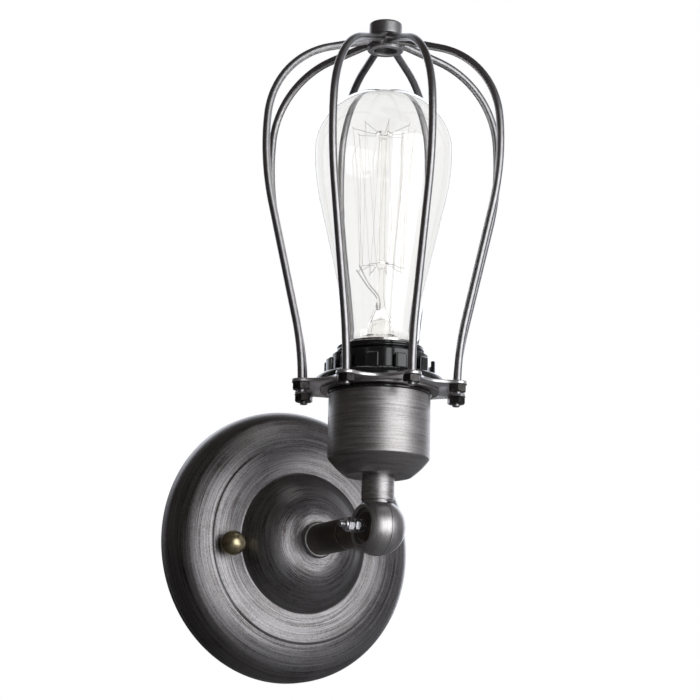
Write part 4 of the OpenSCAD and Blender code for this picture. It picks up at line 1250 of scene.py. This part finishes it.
@dataclass
class Cage(Assembly):
    """The cage: plate, eight bars and their nuts, the welded hub and its knob.

    The belly is the bars' greatest radius and its height, the plate its low and high faces, and a nut
    its width across the flats and its height.
    """

    count: int = 8
    turn: float = -9.2
    foot: float = 36.8
    foot_low: float = 56.6
    bar: float = 1.75
    belly: tuple[float, float] = (56.0, 169.95)
    flare_bend: float = 125.0
    belly_bend: float = 125.0
    belly_turn: float = 5.0
    shoulder_bend: float = 40.6
    hub_turn: float = 73.3
    weld: tuple[float, float] = (1.15, 1.7)
    plate: tuple[float, float] = (60.95, 62.45)
    hole: float = 19.7
    ear: float = 4.3
    hollow: float = 31.0
    hub: float = 7.45
    hub_sink: float = 0.6
    hub_under: float = 4.4
    hub_height: float = 7.1
    hub_bore: float = 5.28
    knob_height: float = 6.2
    nut: tuple[float, float] = (7.0, 3.2)

    def angles(self) -> np.ndarray:
        """Each bar's direction round the lamp's axis, in radians from +X."""
        return np.radians(self.turn - 90 + np.arange(self.count) * 360.0 / self.count)

    def bar_line(self) -> np.ndarray:
        """A bar's centre line: foot, flare, slant, belly bend, shoulder bend, and straight to the hub.

        The slant is the common tangent of the circles of the flare and the belly.

        Returns:
            Points (radius, height) from the foot's tip to the hub.
        """
        flare = np.array([self.foot + self.flare_bend, self.plate[0]])
        belly = np.array([self.belly[0] - self.belly_bend, self.belly[1]])
        lean = slant(flare, belly, self.flare_bend + self.belly_bend)
        turn = math.radians(self.belly_turn)
        shoulder = belly + (self.belly_bend - self.shoulder_bend) * np.array([math.cos(turn), math.sin(turn)])
        top = arc(tuple(shoulder), self.shoulder_bend, self.belly_turn, self.hub_turn, 20)
        rise = 1.0 / math.tan(math.radians(self.hub_turn))
        sunk = self.hub - self.hub_sink
        end = np.array([sunk, top[-1, 1] + (top[-1, 0] - sunk) * rise])
        return np.vstack([
            [(self.foot, h) for h in (self.foot_low, self.foot_low + 0.3, self.plate[0] - 0.4)],
            arc(tuple(flare), self.flare_bend, 180, 180 - lean, 14),
            arc(tuple(belly), self.belly_bend, -lean, self.belly_turn, 20),
            top[1:],
            top[-1] + (end - top[-1]) * np.linspace(0, 1, 7)[1:, None],
        ])

    def hub_low(self) -> float:
        """Height of the hub's lower face, which lies a set way under the bars where they meet it."""
        rise = self.hub_sink / math.tan(math.radians(self.hub_turn))
        return float(self.bar_line()[-1, 1] - rise) - self.hub_under

    def outline(self) -> np.ndarray:
        """The plate's outline: a round ear about each bar, and between ears a round bite that touches both.

        With hollow h, foot f, ear e and half the ears' step s, the bite's radius is
        (h² + f² - 2 h f cos s - e²) / 2 (e - h + f cos s), and its centre lies that much beyond h.

        Returns:
            The closed line's points (x, y).
        """
        half = math.pi / self.count
        f, h, e = self.foot, self.hollow, self.ear
        near = f * math.cos(half)
        bite = (h * h + f * f - 2 * h * near - e * e) / (2 * (e - h + near))
        centre = (h + bite) * np.array([math.cos(half), math.sin(half)])
        toward = np.array([f, 0.0]) - centre
        touch, start = math.atan2(-toward[1], -toward[0]), math.atan2(toward[1], toward[0])
        a = np.linspace(-touch, touch, 17)[:-1]
        ear_line = np.stack([f + e * np.cos(a), e * np.sin(a)], -1)
        a = np.linspace(start % TAU, (2 * half - start) % TAU, 21)[:-1]
        bite_line = centre + bite * np.stack([np.cos(a), np.sin(a)], -1)
        unit = np.vstack([ear_line, bite_line])
        turns = [np.array([[math.cos(t), math.sin(t)], [-math.sin(t), math.cos(t)]]) for t in self.angles()]
        line = np.concatenate([unit @ turn for turn in turns])
        return np.vstack([line, line[:1]])

    def plate_grid(self) -> np.ndarray:
        """The plate: its outline with eased edges, joined to the centre hole at the top and bottom.

        Returns:
            The closed surface as a grid.
        """
        line = self.outline()
        slope = np.gradient(line, axis=0)
        slope[[0, -1]] = (line[1] - line[-2]) / 2
        normal = np.stack([slope[:, 1], -slope[:, 0]], -1) / np.linalg.norm(slope, axis=1, keepdims=True)
        angle = np.unwrap(np.arctan2(line[:, 1], line[:, 0]))
        hole = self.hole * np.stack([np.cos(angle), np.sin(angle)], -1)
        low, high = self.plate
        edge, soft = 0.28, 0.08
        rows = [
            (hole, low), (line - edge * normal, low), (line - soft * normal, low + soft), (line, low + edge),
            (line, high - edge), (line - soft * normal, high - soft), (line - edge * normal, high),
            (hole, high), (hole, low),
        ]
        return np.stack([np.column_stack([xy, np.full(len(xy), z)]) for xy, z in rows])

    def bars(self) -> list[Piece]:
        """The eight bars: one bent rod each, a little thinner at its tip and thicker in the weld at the hub.

        The weld adds height e^-(d / width)² at a distance d from the bar's end.

        Returns:
            The bars, numbered round the axis.
        """
        line = self.bar_line()
        radius = np.full(len(line), self.bar)
        radius[0] = self.bar - 0.35
        height, width = self.weld
        away = line[-1, 0] - line[:, 0]
        radius = radius + height * np.exp(-((away / width) ** 2)) * (line[:, 1] > 200)
        made = []
        for k, angle in enumerate(self.angles()):
            path = np.stack([line[:, 0] * math.cos(angle), line[:, 0] * math.sin(angle), line[:, 1]], -1)
            bar = Piece(f"bar_{k + 1}", Body.HEAD, Slot.GUNMETAL, (f"cage_bar_{k + 1}",))
            made.append(bar.add(tube(path, radius, 28), Axis.UP, GUNMETAL))
        return made

    def top(self) -> list[Piece]:
        """Makes the hub, a dark ring that flares over a lighter lower face, painted bright to stand for the
        backdrop that it reflects, and the knob on it.

        Returns:
            The hub and the knob.
        """
        z, r, bore = self.hub_low(), self.hub, self.hub_bore
        top = z + self.hub_height
        hub = Piece("hub", Body.HEAD, Slot.GUNMETAL, ("cage_hub",))
        flared = np.array([
            (bore, z + 0.75), (r + 0.7, z + 0.75), (r + 0.75, z + 1.3), (r + 0.3, z + 2.3),
            (r, z + 3.2), (r, top), (bore, top),
        ])
        hub.add(ring(flared, 0.25, 96), Axis.UP, HUB_GUNMETAL)
        # painted reflection: the lower face takes a lighter steel than the hub, standing in for the bright
        # backdrop that it mirrors
        sheen_face = np.array([
            (bore + 0.35, z), (r + 0.35, z), (r + 0.7, z + 0.3), (r + 0.7, z + 0.76),
            (bore, z + 0.76), (bore, z + 0.35),
        ])
        hub.add(ring(sheen_face, 0.12, 96), Axis.UP, PAINTED_SHEEN_STEEL)
        spigot, crown = bore - 0.05, top + self.knob_height
        profile = np.vstack([
            [(0.0, top - 3.5), (bore - 0.3, top - 3.5), (spigot, top - 3.2), (spigot, top + 0.05)],
            [(r - 0.3, top + 0.05), (r, top + 0.35)],
            arc((r - 1.0, crown - 1.0), 1.0, 0, 80, 8),
            [(0.0, crown)],
        ])
        knob = Piece("knob", Body.HEAD, Slot.GUNMETAL, ("hub_knob",))
        return [hub, knob.add(lathe(soften(profile, 0.15), 96), Axis.UP, HUB_GUNMETAL)]

    def pieces(self) -> list[Piece]:
        """Makes the surfaces and gives each its finish.

        Returns:
            The plate, the bars, their nuts, the hub and the knob.
        """
        plate = Piece("star_plate", Body.HEAD, Slot.NICKEL, ("cage_plate",), crease=50)
        plate.add(self.plate_grid(), Axis.UP, NICKEL)
        nuts = Piece("foot_nuts", Body.HEAD, Slot.BLACK_STEEL, ("bar_nuts",))
        flats, height = self.nut
        grid = hex_nut(flats, self.plate[0] - height, self.plate[0], self.bar, steps=60)
        for k, angle in enumerate(self.angles()):
            shift = (self.foot * math.cos(angle), self.foot * math.sin(angle), 0.0)
            nuts.add(turned(grid, angle + 0.45 * k, shift), Axis.UP, BLACK_STEEL)
        return [plate, *self.bars(), nuts, *self.top()]


@dataclass
class Lamp(Assembly):
    """The pear-shaped lamp: glass, stem, cap, hooks, leads and filament.

    Heights but the contact's are counted from the centre contact. A button is the glass bead of the
    stem that holds the hooks.
    """

    contact: float = 56.45
    cap_height: float = 25.5
    cap: float = 13.2
    cap_thread: tuple[float, float] = (5.0, 22.0)
    cap_pitch: float = 3.6
    cap_depth: float = 0.85
    cap_sheet: float = 0.35
    glass: float = 32.0
    middle: float = 113.5
    dome: float = 28.8
    neck: float = 17.2
    neck_bend: float = 65.0
    glass_bend: float = 110.0
    wall: float = 0.8
    hooks: int = 8
    upper_ring: float = 14.0
    lower_ring: float = 10.0
    upper_button: float = 121.0
    lower_button: float = 60.5
    pinch: float = 41.0
    hook_wire: float = 0.14
    lead_wire: float = 0.3
    filament_thread: float = 0.07
    lead_turn: float = 157.5

    def skin(self) -> np.ndarray:
        """The glass's outline: foot curve, neck bend, straight taper, belly bend, half-ellipse dome.

        Returns:
            Points (radius, height) from the cap to the top.
        """
        rim = self.contact + self.cap_height
        foot = self.cap + 0.1
        curve = self.neck - foot
        neck = np.array([self.neck + self.neck_bend, rim + curve])
        belly = np.array([self.glass - self.glass_bend, self.contact + self.middle])
        lean = slant(neck, belly, self.neck_bend + self.glass_bend)
        a = np.radians(np.linspace(0, 90, 40))[1:]
        return np.vstack([
            [(foot, rim - 1.5)],
            arc((foot, rim + curve), curve, -90, 0, 10),
            arc(tuple(neck), self.neck_bend, 180, 180 - lean, 12)[1:],
            arc(tuple(belly), self.glass_bend, -lean, 0, 16),
            np.stack([self.glass * np.cos(a), belly[1] + self.dome * np.sin(a)], -1),
        ])

    def stem_line(self) -> np.ndarray:
        """The stem: flare, tapering tube, thin rod, lower button, rod and upper button.

        Returns:
            The closed profile, points (radius, height).
        """
        z = self.contact
        low, high = z + self.lower_button, z + self.upper_button
        seat = z + self.cap_height - 0.6
        line = soften(np.array([
            (12.3, seat), (9.0, seat + 0.5), (5.9, seat + 2.6), (5.75, z + 34.0), (5.2, z + 36.0),
            (3.9, z + 38.6), (2.5, z + 42.0), (1.7, z + 46.0), (1.5, low - 1.0),
            (2.2, low - 0.3), (3.4, low + 0.6), (3.1, low + 1.7), (1.7, low + 2.4),
            (1.5, high - 1.2), (2.3, high - 0.4), (4.0, high + 0.8), (3.5, high + 2.0), (0.0, high + 2.6),
            (0.0, z + 36.6), (2.6, z + 35.6), (4.5, z + 32.5), (4.8, seat + 3.0), (8.0, seat + 1.2),
            (11.6, seat + 0.7), (12.3, seat + 0.3),
        ]), 0.7)
        line[0] = line[-1] = (12.3, seat)
        return line

    def cap_grid(self) -> np.ndarray:
        """The cap as a thin closed sheet: a rolled thread below a plain rim.

        The radius is the cap's less depth times (1 + cos(height over pitch less angle)) / 2, and at both
        ends of the thread it runs out to 0.3 mm less.

        Returns:
            The closed surface as a grid.
        """
        z, top = self.contact, self.contact + self.cap_height
        low, high = z + self.cap_thread[0], z + self.cap_thread[1]
        a = np.linspace(0.0, TAU, 97)[None, :]
        h = np.linspace(low, high, 60)[:, None]
        fade = np.clip(np.minimum(h - low, high - h) / 2.0, 0, 1)
        wave = 0.5 + 0.5 * np.cos(TAU * (h / self.cap_pitch - a / TAU))
        radius = self.cap - self.cap_depth * wave * fade - 0.3 * (1 - fade)
        outside, inside = polar(radius, a, h), polar(radius - self.cap_sheet, a, h)
        rim = np.array([(14.0, high + 0.8), (14.0, top), (13.65, top), (13.4, high + 0.6)])
        return np.concatenate([outside, lathe(rim, 96), inside[::-1], outside[:1]])

    def hook(self, upper: bool, k: int) -> tuple[np.ndarray, np.ndarray]:
        """A hook wire: out from the button, then turned up or down at the tip.

        Args:
            upper: whether it stands in the upper button.
            k: the hook's number round the button.

        Returns:
            The wire's line, and the point where it carries the filament.
        """
        ring_radius, button, start, up = (
            (self.upper_ring, self.upper_button, 3.0, 1.0)
            if upper
            else (self.lower_ring, self.lower_button, 2.6, -1.0)
        )
        angle = (k + (0.5 if upper else 0.0)) * TAU / self.hooks - math.pi / 2
        way = np.array([math.cos(angle), math.sin(angle), 0.0])
        base = np.array([0.0, 0.0, self.contact + button + 1.0])
        marks = (
            (start, 0.0), (start + 3.0, 0.2),
            (ring_radius - 2.5, 1.5), (ring_radius, 2.0), (ring_radius + 0.3, 3.0),
        )
        points = [base + out * way + (0.0, 0.0, lift * up) for out, lift in marks]
        return smooth_path([tuple(point) for point in points], 6), points[3]

    def leads(self) -> list[np.ndarray]:
        """The two lead wires, from the stem's pinch out to the lower hooks' ring.

        Returns:
            Their centre lines.
        """
        low, top = self.contact + self.pinch, self.contact + self.lower_button - 1.0
        lines = []
        for side in (-1.0, 1.0):
            near, far = (math.radians(turn * side + self.lead_turn) for turn in (60.0, 22.5))
            marks = ((1.6, near, low - 1.0), (2.5, near, low + 5.0), (6.5, far, low + 11.0), (11.5, far, top))
            lines.append(smooth_path([(r * math.cos(a), r * math.sin(a), h) for r, a, h in marks], 8))
        return lines

    def threads(self) -> list[np.ndarray]:
        """The filament, which zigzags between the lower and upper hooks, each span bowed in by sin(pi t).

        Returns:
            The centre line of each span.
        """
        t = np.linspace(0.0, 1.0, 15)[:, None]
        lines = []
        for k in range(self.hooks):
            high = self.hook(True, k)[1]
            for step in (0, 1):
                low = self.hook(False, k + step)[1]
                line = low + (high - low) * t
                line[:, :2] *= 1.0 - 0.05 * np.sin(math.pi * t)
                lines.append(line)
        return lines

    def pieces(self) -> list[Piece]:
        """Makes the surfaces and gives each its finish.

        Returns:
            The bulb, stem, cap, hooks with the leads, and filament.
        """
        skin = self.skin()
        inner = offset_wall(skin, self.wall)[len(skin):]
        inner[0] = (0.0, skin[-1, 1] - self.wall)
        bulb = Piece("bulb", Body.HEAD, Slot.GLASS, ("lamp_glass",), crease=60)
        bulb.add(lathe(np.vstack([skin, inner, skin[:1]]), 160), Axis.UP, LAMP_GLASS)
        stem = Piece("stem", Body.HEAD, Slot.STEM_GLASS, ("lamp_stem",), crease=60)
        stem.add(lathe(self.stem_line(), 64), Axis.UP, STEM_GLASS)
        cap = Piece("bulb_cap", Body.HEAD, Slot.CAP, ("lamp_cap",), crease=50)
        cap.add(self.cap_grid(), Axis.UP, CAP_NICKEL)
        wires = Piece("hook_wires", Body.HEAD, Slot.SUPPORT, ("lamp_hooks", "lamp_leads"))
        for upper in (True, False):
            for k in range(self.hooks):
                wires.add(tube(self.hook(upper, k)[0], self.hook_wire, 8), Axis.UP, SUPPORT)
        for line in self.leads():
            wires.add(tube(line, self.lead_wire, 8), Axis.UP, SUPPORT)
        filament = Piece("thread_filament", Body.HEAD, Slot.FILAMENT, ("lamp_filament",))
        for line in self.threads():
            filament.add(tube(line, self.filament_thread, 6), Axis.UP, CARBON)
        return [bulb, stem, cap, wires, filament]


@dataclass
class Wiring(Assembly):
    """The insulated wires of the arm and of the neck, which stop short of each other at the swivel.

    The block is the distance of the terminal block's wire holes from the middle, half the distance
    between them, and their height.
    """

    radius: float = 0.8
    apart: float = 0.95
    turn: float = 5.5
    block: tuple[float, float, float] = (8.0, 3.0, 6.1)
    terminal: float = 11.0

    def arm_line(self, side: float) -> np.ndarray:
        """One arm wire, from the terminal block through the tube to just short of the swivel's centre.

        Args:
            side: +1 or -1, for one wire or the other.

        Returns:
            The wire's line, with its height counted out from the wall.
        """
        c, s = math.cos(math.radians(self.turn)), math.sin(math.radians(self.turn))
        back, half, low = self.block
        x, y = -back * c - side * half * s, -back * s + side * half * c
        gap = side * self.apart
        return smooth_path([
            (x - 3 * c, y - 3 * s, low), (x + 1.5, y + 0.1, low),
            (x + 4.2, y * 0.8, 8.0), (1.9, side * 1.2, 16.5),
            (1.6, gap, 22.0), (1.6, gap, 45.0), (1.6, gap, 63.5), (3.0, gap, 68.5), (3.0, gap, 81.8),
        ])

    def neck_line(self, side: float) -> np.ndarray:
        """One neck wire, from just past the swivel's centre up to its terminal in the lampholder.

        Args:
            side: +1 or -1, for one wire or the other.

        Returns:
            The wire's line, with its height counted from the swivel's centre.
        """
        gap, end = side * self.apart, side * self.terminal
        return smooth_path([
            (-2.2, gap, 3.2), (-2.2, gap, 13.0), (-1.6, gap, 17.0), (-1.6, gap, 32.0),
            (side * 7.0, side * 0.4, 39.0), (end, 0.0, 43.0), (end, 0.0, 48.0),
        ])

    def pieces(self) -> list[Piece]:
        """Makes the surfaces and gives each its finish.

        Returns:
            The arm's pair of wires and the neck's.
        """
        arm = Piece("arm_wires", Body.WALL, Slot.SHEATH, ("arm_leads",))
        neck = Piece("head_wires", Body.HEAD, Slot.SHEATH, ("head_leads",))
        for side in (-1.0, 1.0):
            arm.add(tube(self.arm_line(side), self.radius), Axis.OUT, SHEATH)
            neck.add(tube(self.neck_line(side), self.radius), Axis.UP, SHEATH)
        return [arm, neck]


# ---------------------------------------------------------------- carried-over nodes, stage


def dress_nodes() -> None:
    """Gives every CAD node that still shows the finish of its material slot."""
    dressed = (
        GUNMETAL, NICKEL, ZINC, BLACK_STEEL, OLD_BRASS, RAW_BRASS, CHROME,
        CAP_NICKEL, SUPPORT, CARBON, BAKELITE, IVORY, SHEATH,
    )
    kinds = {kind.name: kind for kind in dressed}
    slots = {part["node"]: part["material_slot"] for part in frame["record"]["subparts"]}
    for name, node in frame["nodes"].items():
        if node.hide_render:
            continue
        node.data.materials.clear()
        node.data.materials.append(finish(kinds.get(slots[name], replace(PEWTER, anisotropy=0.0))))
        LOG.info("%s keeps its CAD shape", name)


def stand(data: bpy.types.ID, axes: tuple[np.ndarray, ...], spot: Point) -> bpy.types.Object:
    """Stands a camera or a light in the scene.

    Args:
        data: what the object shows, whose name it takes.
        axes: where its local x, y and z point.
        spot: its place, in metres.

    Returns:
        The new object.
    """
    made = bpy.data.objects.new(data.name, data)
    made.matrix_world = Matrix([[*(axis[k] for axis in axes), spot[k]] for k in range(3)] + [[0, 0, 0, 1]])
    bpy.context.scene.collection.objects.link(made)
    return made


@dataclass(frozen=True)
class Softbox:
    """A soft rectangular light that faces the lamp, in metres and watts.

    Its azimuth runs round z from the camera's side, positive to the camera's right, and its elevation
    up from the horizon, both in degrees.
    """

    name: str = "key_softbox"
    azimuth: float = 40.0
    elevation: float = -9.0
    distance: float = 1.3
    size: tuple[float, float] = (1.36, 1.66)
    power: float = 18.0
    colour: Colour = (0.965, 0.98, 1.0)
    target: Point = (0.0, -0.06, 0.06)

    def build(self, camera_azimuth: float) -> None:
        """Stands the light in the scene.

        Args:
            camera_azimuth: the camera's own azimuth, in degrees.
        """
        data = bpy.data.lights.new(self.name, "AREA")
        data.shape, data.size, data.size_y = "RECTANGLE", *self.size
        data.energy, data.color = self.power, self.colour
        a, e = math.radians(camera_azimuth - 90 + self.azimuth), math.radians(self.elevation)
        way = np.array([math.cos(a) * math.cos(e), math.sin(a) * math.cos(e), math.sin(e)])
        side = np.cross([0.0, 0.0, 1.0], way)
        side /= np.linalg.norm(side)
        stand(data, (side, np.cross(way, side), way), np.array(self.target) + self.distance * way)


@dataclass
class Studio:
    """The camera, the pale floor, the soft light and the white surround.

    The camera's position is in metres, and its lens in millimetres on a 36 mm wide frame. A fade is
    the distance in metres where it starts and where it ends.
    """

    azimuth: float = -30.27
    elevation: float = -12.11
    roll: float = 1.13
    position: Point = (-0.55633, -1.01161, -0.15310)
    lens: float = 128.5
    backdrop: Colour = (1.7, 1.78, 1.95)
    right_wall: Colour = (0.25, 0.255, 0.27)
    room: Colour = (0.062, 0.056, 0.054)
    floor_level: float = -420.0
    floor_half: float = 9000.0
    floor_pale: tuple[Colour, Colour] = ((0.72, 0.72, 0.71), (0.76, 0.76, 0.75))
    # painted shade on the floor as reflections see it: dark on the left, lighter on the right towards the key
    floor_shaded: tuple[Colour, Colour] = ((0.07, 0.064, 0.062), (0.46, 0.45, 0.45))
    shade_fade: tuple[float, float] = (-0.35, 0.6)
    glow_fade: tuple[float, float] = (0.3, 1.7)
    key: Softbox = Softbox()

    def camera(self) -> None:
        """A camera whose axes come from its azimuth, elevation and roll."""
        a, e, r = (math.radians(v) for v in (self.azimuth, self.elevation, self.roll))
        right = np.array([math.cos(a), math.sin(a), 0.0])
        back = np.array([math.sin(a) * math.cos(e), -math.cos(a) * math.cos(e), math.sin(e)])
        up = np.cross(back, right)
        data = bpy.data.cameras.new("camera")
        data.lens, data.sensor_width = self.lens, 36.0
        data.clip_start, data.clip_end = 0.05, 50.0
        axes = (math.cos(r) * right + math.sin(r) * up, -math.sin(r) * right + math.cos(r) * up, back)
        bpy.context.scene.camera = stand(data, axes, self.position)

    def facing(
        self, g: Graph, way: bpy.types.NodeSocket, direction: Point, low: float, high: float
    ) -> bpy.types.NodeSocket:
        """0 where the cosine of a ray and a direction is under the low value, and 1 over the high one."""
        dot = g.node("VectorMath", {0: way, 1: direction}, operation="DOT_PRODUCT").outputs["Value"]
        return g.node("MapRange", {0: dot, 1: low, 2: high}, interpolation_type="SMOOTHSTEP").outputs[0]

    def surround(self) -> None:
        """White for the eye; reflections see a dark room, a grey right side and a bright backdrop."""
        world = bpy.data.worlds.new("surround")
        bpy.context.scene.world = world
        g = Graph(world)
        way = g.node("TexCoord").outputs["Generated"]
        a = math.radians(self.azimuth)
        sides = (
            ((-0.99 * math.sin(a), 0.99 * math.cos(a), 0.12), 0.6, 0.86, self.backdrop),
            ((math.cos(a), math.sin(a), 0.0), 0.25, 0.85, self.right_wall),
            ((0.0, 0.0, 1.0), -2.0, -1.5, self.room),
        )
        colour: object = (0.0, 0.0, 0.0)
        for direction, low, high, shade in sides:
            colour = g.blend(self.facing(g, way, direction, low, high), colour, shade, "ADD")
        room = g.node("Background", {"Color": colour}).outputs[0]
        white = g.node("Background", {"Color": (1.0, 1.0, 1.0, 1.0)}).outputs[0]
        join = g.node("MixShader", {0: g.seen(), 1: room, 2: white}).outputs[0]
        g.node("OutputWorld", {0: join})

    def floor(self) -> None:
        """A wide pale floor well below the light.

        It glows more and more with distance, so that it fades to white, and is clear from below.
        Reflections see it without the glow and with painted shade: darker than the camera sees it, and darker
        still on the left, away from the key light.
        """
        side = np.linspace(-self.floor_half, self.floor_half, 9)
        grid = np.stack(np.meshgrid(side, side, [self.floor_level]), -1)[:, :, 0]
        mesh = grid_mesh(grid * MM)
        g = Graph(bpy.data.materials.new("pale_floor"))
        seen, place = g.seen(), g.place()
        x, y, _ = g.node("SeparateXYZ", {0: place}).outputs
        a = math.radians(self.azimuth)
        right = g.weighted((x, math.cos(a)), (y, math.sin(a)))
        pale = g.blend(g.noise(place, 40.0), *self.floor_pale)
        # painted shade: for reflections the floor runs from dark on the left to lighter on the right, towards
        # the key light
        shaded = g.blend(g.fit(right, *self.shade_fade), *self.floor_shaded)
        glow = g.math("MULTIPLY", seen, g.fit(g.reach(x, y), *self.glow_fade, 0.5))
        under = g.math("MULTIPLY", seen, g.node("NewGeometry").outputs["Backfacing"])
        mesh.materials.append(g.surface({
            "Base Color": g.blend(seen, shaded, pale),
            "Roughness": 0.8,
            "Emission Color": (1.0, 1.0, 1.0, 1.0),
            "Emission Strength": glow,
            "Alpha": g.math("SUBTRACT", 1.0, under),
        }))
        made = bpy.data.objects.new("floor", mesh)
        bpy.context.scene.collection.objects.link(made)

    def build(self) -> None:
        """Sets the camera, the floor, the surround and the light."""
        self.camera()
        self.floor()
        self.surround()
        self.key.build(self.azimuth)
        bpy.context.scene.view_settings.view_transform = "Standard"


def main() -> None:
    """Builds the stage, then each sub-assembly in order, and dresses what stays as CAD."""
    logging.basicConfig(level=logging.INFO, format="%(message)s")
    Studio().build()
    for part in (WallPlate(), Arm(), Swivel(), Cup(), Lampholder(), Cage(), Lamp(), Wiring()):
        for made in part.build():
            finishes = ", ".join(material.name for material in made.data.materials)
            LOG.info("%s: %d faces in %s", made.name, len(made.data.polygons), finishes)
    dress_nodes()


if __name__ == "__main__":
    main()
